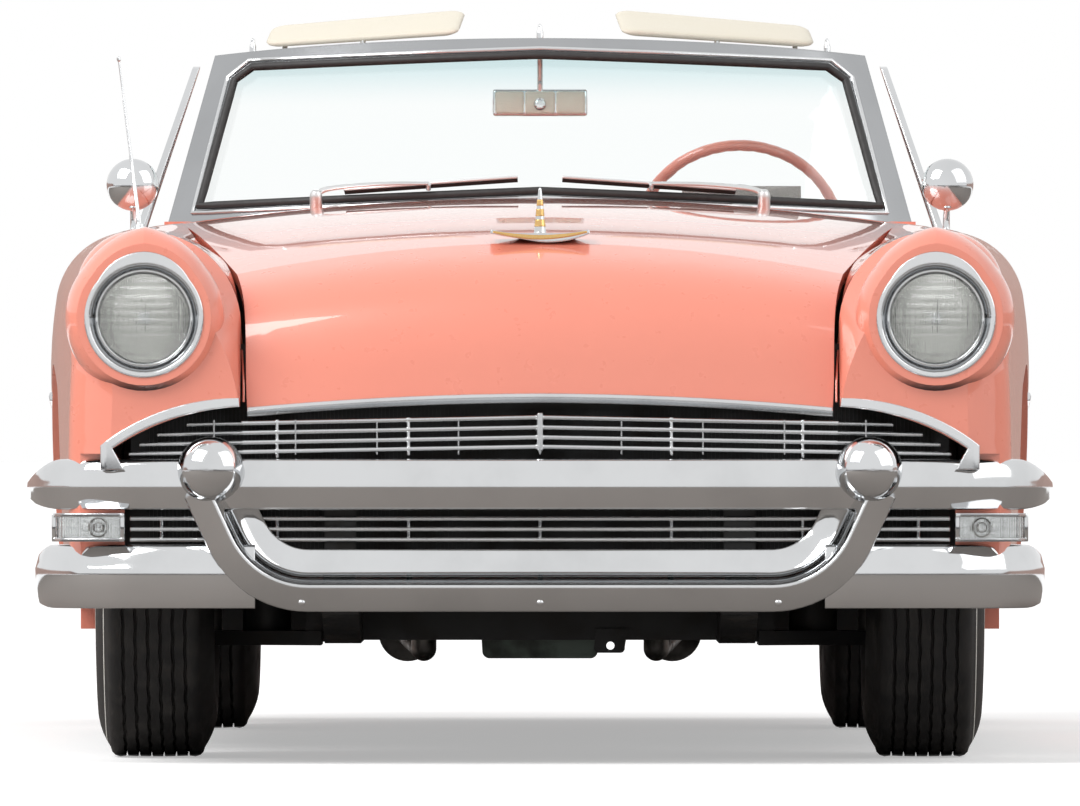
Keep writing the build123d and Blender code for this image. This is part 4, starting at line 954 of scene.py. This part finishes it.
def tail_outline(grow, y):
    low, high, left, right = 0.700 - grow, 0.870 + grow, 0.745 - grow, 0.805 + grow
    pts = [(left, y, low), (right, y, low), (right, y, high), (left, y, high)]
    return rounded(pts, 0.026, 6)


BEZEL = [(0.006, 0.009), (-0.004, 0.011), (-0.006, -0.009), (0.006, -0.009)]
bezel = strip(tail_outline(0.002, 2.650), BEZEL, (0, 1, 0), True)
plated("tail_lamp_bezels", both_sides(bezel), crease=60)
for side in BOTH:
    ribs = row_of_fins("tail_lens_ribs", (side * 0.775, 2.676, 0.712), (0, 0, 0.0125), 13, (0.052, 0.006, 0.007), RED)
    keep("tail_lens_ribs_left" if side > 0 else "tail_lens_ribs_right", ribs, RED, "car", 20)

# Door furniture


FLANK = [
    (-2.364, 0.908), (-1.994, 0.938), (-1.496, 0.963), (-1.008, 0.975), (-0.693, 0.978), (-0.060, 0.985),
    (0.574, 0.991), (0.760, 1.006), (1.285, 1.006), (1.900, 0.980), (2.250, 0.955), (2.540, 0.908),
]


def on_flank(y, lift=0.0):
    """x of the body side at its widest line."""
    for (y0, x0), (y1, x1) in zip(FLANK, FLANK[1:]):
        if y <= y1:
            return x0 + (x1 - x0) * (y - y0) / (y1 - y0) + lift


def belt(y):
    """Height of a door's upper edge."""
    return 1.030 - 0.0174 * (y + 0.693)


SPEAR = [(0.006, 0.0), (0.004, 0.008), (-0.004, 0.009), (-0.004, -0.009), (0.004, -0.008)]


def door_furniture(side):
    """Handle, cards, armrest, crank and beads of one door; the left door's are turned over for the right."""
    turn = (lambda shape: shape) if side > 0 else flipped
    tag = "left" if side > 0 else "right"
    body = "door_" + tag
    grip = flowing([
        (0.982, 0.372, 0.783), (0.993, 0.385, 0.783), (1.0015, 0.420, 0.784),
        (1.0035, 0.470, 0.784), (0.999, 0.515, 0.783), (0.985, 0.535, 0.783),
    ], 7)
    handle = strip(grip, circle(0.0085, 12, 1.35), (0, 0, 1), taper=lambda t: 0.75 + 0.45 * sin(pi * t))
    button = [(-0.012, 0.0), (-0.012, 0.0125), (0.004, 0.0125), (0.008, 0.010), (0.010, 0.0)]
    foot = [(-0.010, 0.0), (-0.010, 0.017), (0.002, 0.0165), (0.005, 0.012), (0.006, 0.0)]
    fittings = [handle, spun(button, (0.984, 0.548, 0.783), (1, 0, 0.05), 28)]
    fittings += [spun(foot, (0.983, y, 0.783), (1, 0, 0.05), 28) for y in (0.380, 0.528)]
    plated("door_handle_" + tag, [turn(s) for s in fittings], body)

    def card(z0, z1, pleats):
        y0, y1, ny, nz = -0.660, 0.535, 96, 24

        def place(skin, i, k):
            y, z = y0 + (y1 - y0) * i / ny, z0 + (z1 - z0) * k / nz
            edge = min(1.0, 14 * min(i / ny, 1 - i / ny, k / nz * 0.5, (1 - k / nz) * 0.5))
            swell = 0.004 * edge + (0.0045 * abs(sin((y - y0) * pi / 0.055)) * edge if pleats else 0)
            return Vector((0.7993 if skin else 0.7940 - swell, y, z))
        return turn(slab(ny + 1, nz + 1, place))

    fit("door_card_upper_" + tag, [card(0.720, 0.985, False)], CORAL_HIDE, body, 60)
    fit("door_card_pleats_" + tag, [card(0.345, 0.700, True)], CREAM_HIDE, body, 60)
    rail = [(0.004, 0.007), (-0.004, 0.009), (-0.005, 0.0), (-0.004, -0.009), (0.004, -0.007)]
    pull = [(0.790, 0.300, 0.8), (0.766, 0.308, 0.8), (0.760, 0.350, 0.8), (0.766, 0.392, 0.8), (0.790, 0.400, 0.8)]
    grip = [(0.012, 0.0), (0.012, 0.010), (-0.004, 0.012), (-0.016, 0.009), (-0.018, 0.0)]
    crank = [(0.0, 0.017), (-0.010, 0.016), (-0.016, 0.011), (-0.018, 0.0)]
    arm = [(0.776, -0.230, 0.640), (0.768, -0.265, 0.610), (0.766, -0.300, 0.580)]
    bright = [
        strip([(0.7930, y, 0.710) for y in (-0.662, -0.3, 0.1, 0.537)], rail),
        spun(crank, (0.792, -0.230, 0.640), (1, 0, 0), 24),
        strip(arm, circle(0.0055, 8), (1, 0, 0)),
        spun(grip, (0.764, -0.302, 0.578), (1, 0, 0), 20),
        strip(flowing(pull, 6), circle(0.006, 10)),
    ]
    plated("door_card_bright_" + tag, [turn(s) for s in bright], body)
    rest = bevelled_block((0.728, -0.060, 0.655), (0.792, 0.330, 0.715), 0.022, 4)
    pad = fit("door_armrest_" + tag, [turn(rest)], CREAM_HIDE, body, 80)
    slot_line = [(0.828, y, belt(y) + 0.0016) for y in (-0.300, -0.10, 0.10, 0.30, 0.552)]
    fit("window_slot_" + tag, [turn(strip(slot_line, oblong(0.007, -0.003, 0.002)))], RUBBER, body)
    bead = strip([(0.847, y, belt(y) + 0.001) for y in (-0.676, -0.30, 0.10, 0.552)], circle(0.0065, 10))
    plated("door_sill_bead_" + tag, [turn(bead)], body)
    spear = [(on_flank(y, 0.001), y, 0.680 - 0.0159 * (y + 0.693)) for y in (-0.676, -0.40, -0.06, 0.25, 0.552)]
    plated("side_spear_door_" + tag, [turn(strip(spear, SPEAR))], body)


for side in BOTH:
    door_furniture(side)
SPEAR_RUNS = [
    [(-1.410, 0.7035), (-1.20, 0.697), (-1.008, 0.691), (-0.712, 0.686)],
    [(0.585, 0.6595), (0.66, 0.656), (0.76, 0.650), (0.868, 0.649)],
    [(1.705, 0.645), (1.90, 0.645), (2.10, 0.645), (2.25, 0.645), (2.52, 0.645)],
]
wing_spears = [strip([(on_flank(y, 0.001), y, z) for y, z in run], SPEAR) for run in SPEAR_RUNS]
plated("side_spears", both_sides(*wing_spears))

# Trunk handle and plate lamp
lock = [(-0.012, 0.0), (-0.012, 0.018), (0.006, 0.017), (0.010, 0.012), (0.011, 0.0)]
handle = [
    bevelled_block((-0.085, 2.585, 0.640), (0.085, 2.602, 0.664), 0.006, 3),
    spun(lock, (0, 2.592, 0.690), (0, 1, 0.03), 28),
] + [bevelled_block((x - 0.012, 2.570, 0.643), (x + 0.012, 2.592, 0.661), 0.004, 2) for x in (-0.060, 0.060)]
plated("trunk_handle", handle, "trunk_lid")
plated("plate_lamp", [bevelled_block((-0.045, 2.566, 0.566), (0.045, 2.600, 0.586), 0.006, 3)])

# Hood ornament: gilt bands on the upright spear
BANDS = (0.020, 0.034, 0.0112, 0.0094), (0.040, 0.054, 0.0088, 0.0075), (0.060, 0.072, 0.0069, 0.0057)
bands = []
for low, high, r0, r1 in BANDS:
    bands.append(spun([(low, 0.0), (low, r0), (high, r1), (high, 0.0)], (0, -2.360, 1.006), (0, 0, 1), 28))
arch = (-0.090, 1.0155), (-0.05, 1.0085), (0, 1.0050), (0.05, 1.0085), (0.090, 1.0155)
sweep = flowing([(x, -2.3955, z) for x, z in arch], 6)
bands.append(strip(sweep, oblong(0.003, -0.0045, 0.0045), (0, 0, 1), taper=lambda t: 0.45 + 0.55 * sin(pi * t)))
fit("ornament_bands", bands, GILT, "hood")

# Padded pieces: a copy of the plain solid, blown up as cloth and then sewn
SWELL_FRAMES = 20
PLEAT_PITCH, PLEAT_DEEP, MIDDLE_BAND = 0.055, 0.007, 0.06


def stuffed(name, node, finish, voxel, shrink, cap, sew):
    """Swells a shrunken copy of a solid by at most cap, then sews it."""
    mesh = nodes[node].data.copy()
    bm = bmesh.new()
    bm.from_mesh(mesh)
    bmesh.ops.remove_doubles(bm, verts=bm.verts, dist=1e-5)
    low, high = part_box(node)
    middle, size = (low + high) / 2, high - low
    for v in bm.verts:
        v.co = Vector([m + (c - m) * (1 - 2 * shrink / max(d, 4 * shrink)) for c, m, d in zip(v.co, middle, size)])
    bm.to_mesh(mesh)
    bm.free()
    pad = bpy.data.objects.new(name + "_form", mesh)
    scene.collection.objects.link(pad)

    def shaped():
        return bpy.data.meshes.new_from_object(pad.evaluated_get(bpy.context.evaluated_depsgraph_get()))

    remesh = pad.modifiers.new("even", "REMESH")
    remesh.mode = "VOXEL"
    remesh.voxel_size = voxel
    even = shaped()
    pad.modifiers.clear()
    pad.data = even
    cloth = pad.modifiers.new("cloth", "CLOTH")
    cloth.settings.use_pressure = True
    cloth.settings.uniform_pressure_force = 4.0
    cloth.settings.effector_weights.gravity = 0.0
    cloth.settings.quality = 4
    cloth.point_cache.frame_start, cloth.point_cache.frame_end = 1, SWELL_FRAMES
    for moment in range(1, SWELL_FRAMES + 1):
        scene.frame_set(moment)
    full = shaped()
    for v, start in zip(full.vertices, even.vertices):
        push = v.co - start.co
        v.co = start.co + push * min(1.0, cap / max(push.length, 1e-9))
    pad.modifiers.clear()
    pad.data = full
    scene.frame_set(1)
    smooth = pad.modifiers.new("smooth", "SUBSURF")
    smooth.levels = smooth.render_levels = 1
    done = shaped()
    bpy.data.objects.remove(pad)
    normals = [v.normal.copy() for v in done.vertices]
    for v, normal in zip(done.vertices, normals):
        v.co += sew(v.co, normal)
    made = keep(name, done, finish, "car", 180)
    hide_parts(node)


def pleats(width, front, back):
    """Sewn channels that run fore and aft, between borders."""
    def sew(p, n):
        face = max(0.0, n.z * 0.8 - n.y * 0.6)
        if abs(p.x) > width or not front < p.y < back or abs(p.x) < MIDDLE_BAND:
            near = min(abs(abs(p.x) - width), abs(abs(p.x) - MIDDLE_BAND)) if front < p.y < back else 1.0
            return n * (-PLEAT_DEEP * max(0.0, 1 - near / 0.006) * face)
        groove = abs((p.x / PLEAT_PITCH) % 1.0 - 0.5) * 2
        return n * (-PLEAT_DEEP * face * max(0.0, groove - 0.72) / 0.28)
    return sew


for name, node, finish, voxel, shrink, cap, pleated in (
    ("front_cushion_pad", "front_seat_cushion", FRONT_BENCH, 0.0125, 0.010, 0.014, (0.60, -0.33, 0.18)),
    ("front_back_pad", "front_seat_back", FRONT_BENCH, 0.0110, 0.008, 0.012, (0.60, 0.10, 0.35)),
    ("rear_cushion_pad", "rear_seat_cushion", REAR_BENCH, 0.0120, 0.009, 0.012, (0.47, 0.66, 0.96)),
    ("rear_back_pad", "rear_seat_back", REAR_BENCH, 0.0110, 0.008, 0.012, (0.47, 0.90, 1.06)),
):
    stuffed(name, node, finish, voxel, shrink, cap, pleats(*pleated))


def boot_folds(p, n):
    long_folds = noise.noise(Vector((p.x * 3.0, p.y * 14.0, 2.0))) * 0.010
    ripple = long_folds + noise.noise(Vector((p.x * 11.0, p.y * 9.0, 7.0))) * 0.004
    return n * (min(0.0, ripple) * max(0.0, n.z))


stuffed("top_boot_cover", "top_boot", BOOT_CLOTH, 0.0125, 0.007, 0.010, boot_folds)
snaps = studs("boot_snaps", [(0.125 * k, 1.0835, 0.985) for k in range(-4, 5)], (0, -1, 0), 0.0075, CHROME)
keep("boot_snaps", snaps, CHROME, "car")

# Gutters under the hood's side seams
SEAM = [
    (0.5612, -2.590, 0.700), (0.562, -2.568, 0.749), (0.569, -2.490, 0.835), (0.581, -2.380, 0.891),
    (0.630, -1.994, 0.948), (0.680, -1.500, 0.987), (0.718, -1.030, 1.010),
]
gutter = strip(flowing([(x + 0.0027, y, z - 0.011) for x, y, z in SEAM], 8), circle(0.0021, 8), (0, 0, 1))
fit("hood_gutters", both_sides(gutter), PAINT, "car")

# Trim between the rear seat's side walls and the shelves above the wheels
cards = [bevelled_block((0.5785, 0.697, 0.7005), (0.5895, 1.046, 0.7640), 0.004, 3)]
fit("rear_seat_side_cards", both_sides(*cards), CORAL_HIDE, "car", 80)

# Instruments and dash trim
dial, DIAL_AIM = Vector((0.408, -0.5885, 1.064)), (0, 1, 0.08)
face = spun([(0.0, 0.0), (0.0, 0.034), (-0.006, 0.034), (-0.006, 0.0)], dial, DIAL_AIM, 48)
fit("speed_dial", [face], BLACK, "car")
ticks = ring_of_ribs("dial_ticks", (0, 0, 0), 0.027, 24, (0.006, 0.0012, 0.0012), 1, CREAM_HIDE)
for v in ticks.vertices:
    v.co = dial + Vector((-v.co.y, 0.0012 + v.co.x, v.co.z))
keep("dial_ticks", ticks, CREAM_HIDE, "car")
bezel = [(0.0, 0.033), (0.004, 0.034), (0.006, 0.037), (0.002, 0.040), (-0.006, 0.040), (-0.006, 0.033)]
hand = [dial + Vector((0.016, 0.003, 0.016)), dial + Vector((0, 0.003, 0)), dial + Vector((-0.004, 0.003, -0.004))]
rail = [(0.0, 0.010), (0.006, 0.007), (0.006, -0.007), (0.0, -0.010)]
knob = [(-0.004, 0.0), (-0.004, 0.007), (0.010, 0.007), (0.012, 0.013), (0.022, 0.013), (0.024, 0.010), (0.025, 0.0)]
bright = [
    spun(bezel, dial, DIAL_AIM, 56, True),
    strip(hand, circle(0.0011, 6), (0, 1, 0)),
    strip([(x, -0.5785, 0.935) for x in (-0.745, -0.40, 0.0, 0.30)], rail),
]
bright += [spun(knob, (x, -0.580, 0.900), (0, 1, 0), 24) for x in (-0.10, 0.10, 0.26, 0.55, 0.62)]
plated("dash_bright", bright)
vents = row_of_fins("speaker_bars", (-0.060, -0.5765, 0.962), (0.010, 0, 0), 13, (0.005, 0.006, 0.030), CHROME)
keep("speaker_bars", vents, CHROME, "car")

# Bumper blades, one plating from end to end
HALF_BAR = [
    (0.0, -2.6795), (0.20, -2.6770), (0.40, -2.6703), (0.55, -2.6620), (0.70, -2.6513), (0.761, -2.6460),
    (0.801, -2.6400), (0.841, -2.6265), (0.881, -2.6025), (0.921, -2.5640), (0.941, -2.5345), (0.961, -2.4875),
    (0.976, -2.4100), (0.9835, -2.3600),
]
BAR_LINE = [(-x, y) for x, y in reversed(HALF_BAR[1:])] + HALF_BAR
BAR_SECTION = [
    (0.0, 0.527), (-0.0003, 0.5290), (-0.0008, 0.537), (-0.0022, 0.548), (-0.0043, 0.559), (-0.0075, 0.5685),
    (-0.0125, 0.5765), (-0.0185, 0.5797), (-0.026, 0.5805), (-0.066, 0.5805), (-0.066, 0.4860), (-0.016, 0.4840),
    (-0.0115, 0.4865), (-0.0055, 0.505), (-0.0005, 0.5252),
]
WING_LINE = [
    (0.541, -2.6680), (0.60, -2.6670), (0.70, -2.6600), (0.75, -2.6545), (0.80, -2.6430), (0.83, -2.6310),
    (0.86, -2.6140), (0.88, -2.5985), (0.90, -2.5790), (0.92, -2.5550), (0.94, -2.5220), (0.955, -2.4840),
    (0.9648, -2.4400), (0.9652, -2.4080),
]
WING_SECTION = [
    (0.0, 0.372), (-0.0004, 0.360), (-0.001, 0.346), (-0.003, 0.330), (-0.0055, 0.315), (-0.0080, 0.303),
    (-0.011, 0.2975), (-0.016, 0.2962), (-0.055, 0.2962), (-0.055, 0.4178), (-0.0200, 0.4172), (-0.0125, 0.4125),
    (-0.0070, 0.398), (-0.0035, 0.384), (-0.0006, 0.3735),
]


def bumper_blade(line, section, drawn_from, drop, lift):
    """A blade along its ridge, drawn in towards its ends."""
    top, low = max(z for n, z in section), min(z for n, z in section)
    points, faces = strip(flowing([(x, y, 0.0) for x, y in line], 6), section)
    for p in points:
        past = max(0.0, abs(p.x) - drawn_from)
        p.z = max(min(p.z, top - past * past * drop), low + past * past * lift)
    return points, faces


bar = plated("bumper_bar_blade", [bumper_blade(BAR_LINE, BAR_SECTION, 0.905, 7.5, 3.0)])
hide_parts("bumper_upper_bar")
wings = plated("bumper_wing_blades", both_sides(bumper_blade(WING_LINE, WING_SECTION, 0.925, 18.0, 9.0)))
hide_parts("bumper_wings")

# Centre cradle: a U with a hollowed tray above its front face
CRADLE_BEND, CRADLE_R, CRADLE_REACH = radians(64.9), 0.1546, 0.105
CRADLE_X, CRADLE_Y, CRADLE_Z = 0.44, -2.640, 0.346
CRADLE_TRAY = [
    (-0.0100, 0.0500), (-0.0050, 0.0488), (-0.0015, 0.0430), (0.0025, 0.0260), (0.0060, 0.0080), (0.0090, -0.0040),
    (0.0140, -0.0125), (0.0220, -0.0185), (0.0340, -0.0240), (0.0480, -0.0300), (0.0600, -0.0345), (0.0625, -0.0360),
    (0.0630, -0.0400), (-0.0500, -0.0400), (-0.0560, 0.0240), (-0.0540, 0.0280),
]


def cradle_line():
    half = [(0.0, CRADLE_Z), (0.22, CRADLE_Z), (CRADLE_X, CRADLE_Z)]
    for k in range(1, 13):
        bend = CRADLE_BEND * k / 12
        half.append((CRADLE_X + CRADLE_R * sin(bend), CRADLE_Z + CRADLE_R * (1 - cos(bend))))
    x, z = half[-1]
    half.append((x + CRADLE_REACH * cos(CRADLE_BEND), z + CRADLE_REACH * sin(CRADLE_BEND)))
    return [(x, CRADLE_Y, z) for x, z in [(-x, z) for x, z in reversed(half[1:])] + half]


tray = strip(cradle_line(), [(-inward, ahead) for inward, ahead in CRADLE_TRAY], (0, -1, 0))
cradle = plated("bumper_cradle_blade", [tray])
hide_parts("bumper_cradle")

# Bumper bolts
bolts = studs("bumper_bolts", [(x, -2.676, 0.308) for x in (-0.452, 0.452, 0.0)], (0, -1, 0), 0.007, CHROME)
keep("bumper_bolts", bolts, CHROME, "car")


# Studio: white surroundings, three soft lamps and the photo's long lens
FLOOR_REACH, WALL_REACH, WALL_TURNS, WALL_LOW, WALL_TALL = 900, 16, 48, 0.55, 2.0
LAMPS = {
    "key": ((-6.0, -6.0, 7.5), 6.0, 900),
    "fill": ((6.5, -4.5, 5.5), 7.0, 230),
    "back": ((0.0, 7.0, 7.0), 8.0, 300),
}
LAMP_AIM = Vector((0, 0, 0.6))
CAMERA_AT, CAMERA_TILT = (0.0, -31.839, 0.590), radians(90 + 0.19)
SENSOR, FOCAL_PIXELS, PHOTO_PIXELS = 36.0, 15375, 1080


def seen_rays(tree):
    """1 where the camera sees a surface straight, by reflection or through glass."""
    start = Tap(tree)
    path = tree.nodes.new("ShaderNodeLightPath")
    seen = Tap(tree, path.outputs["Is Camera Ray"])
    for ray in ("Is Glossy Ray", "Is Transmission Ray"):
        seen = start.math("MAXIMUM", seen, Tap(tree, path.outputs[ray]))
    return seen


def stage_piece(name, points, faces, finish):
    mesh = bpy.data.meshes.new(name)
    mesh.from_pydata(points, [], faces)
    mesh.materials.append(finish.material)
    made = bpy.data.objects.new(name, mesh)
    scene.collection.objects.link(made)
    return made


def flat_square(low, high, z):
    return [(low[0], low[1], z), (high[0], low[1], z), (high[0], high[1], z), (low[0], high[1], z)], [[0, 1, 2, 3]]


def studio():
    """White surroundings, a pale floor painted grey round the car as a shadow, and a low wall and a floor flag that
    only bright surfaces reflect, as painted reflections.
    """
    world = bpy.data.worlds.new("studio_white")
    scene.world = world
    world.use_nodes = True
    shell = world.node_tree.nodes["Background"]
    shell.inputs["Color"].default_value = rgb(1, 1, 1)
    world.node_tree.links.new((seen_rays(world.node_tree) * 0.58 + 0.42).socket, shell.inputs["Strength"])

    pale = Finish("pale_floor_painted_shadow", {"Base Color": rgb(0.72, 0.72, 0.72), "Roughness": 0.9})
    # Painted shadow: the floor's glow is grey near the car and white from about 11 m out, so the floor round the car
    # reads as shadowed.
    away = pale.start.node("ShaderNodeVectorMath", {"operation": "LENGTH"}, {0: pale.place}, "Value")
    pale.feed("Emission Color", pale.shade(away.step(3.5, 11.0), rgb(0.55, 0.55, 0.55), rgb(1, 1, 1)))
    pale.feed("Emission Strength", seen_rays(pale.tree) * 0.75)
    stage_piece("studio_floor_painted_shadow", *flat_square((-FLOOR_REACH, -FLOOR_REACH), (FLOOR_REACH, FLOOR_REACH), 0), pale)

    turns = [2 * pi * k / WALL_TURNS for k in range(WALL_TURNS)]
    ring = [(WALL_REACH * sin(turn), -WALL_REACH * cos(turn)) for turn in turns]
    points = [(u, v, 0.0) for u, v in ring] + [(u, v, WALL_LOW if v < -4 else WALL_TALL) for u, v in ring]
    # Painted reflection: this wall is seen only in reflections; dark grey in front and coral pink behind, it gives
    # chrome a dark band at the horizon and glancing paint a coral reflection.
    grey = Finish("wall_painted_reflection", {"Roughness": 1.0})
    grey.feed("Base Color", grey.shade(grey.axis("Y").step(-6.0, 0.0), rgb(0.16, 0.16, 0.17), rgb(0.84, 0.60, 0.53)))
    wall = stage_piece("painted_reflection_wall", points, quilt(2, WALL_TURNS, ring=True), grey)
    # Painted reflection: a brown-grey sheet on the floor, seen only in reflections, stands in for the ground in the
    # lower faces of the chrome.
    brown = Finish("flag_painted_ground_reflection", {"Base Color": rgb(0.26, 0.235, 0.215), "Roughness": 1.0})
    flag = stage_piece("ground_reflection_flag", *flat_square((-10, -15), (10, 4), 0.004), brown)
    for screen in (wall, flag):
        screen.visible_camera = False
        screen.visible_diffuse = False
        screen.visible_shadow = False
        screen.visible_transmission = False

    for name, (place, size, power) in LAMPS.items():
        lamp = bpy.data.lights.new(name, "AREA")
        lamp.size = size
        lamp.energy = power
        holder = bpy.data.objects.new(name, lamp)
        holder.location = place
        holder.rotation_euler = (LAMP_AIM - Vector(place)).to_track_quat("-Z", "Y").to_euler()
        holder.visible_glossy = name != "back"
        scene.collection.objects.link(holder)

    lens = bpy.data.cameras.new("camera")
    lens.sensor_width = SENSOR
    lens.lens = FOCAL_PIXELS / PHOTO_PIXELS * SENSOR
    lens.clip_end = 3000
    camera = bpy.data.objects.new("camera", lens)
    camera.location = CAMERA_AT
    camera.rotation_euler = (CAMERA_TILT, 0, 0)
    scene.collection.objects.link(camera)
    scene.camera = camera
    scene.view_settings.view_transform = "Standard"


studio()
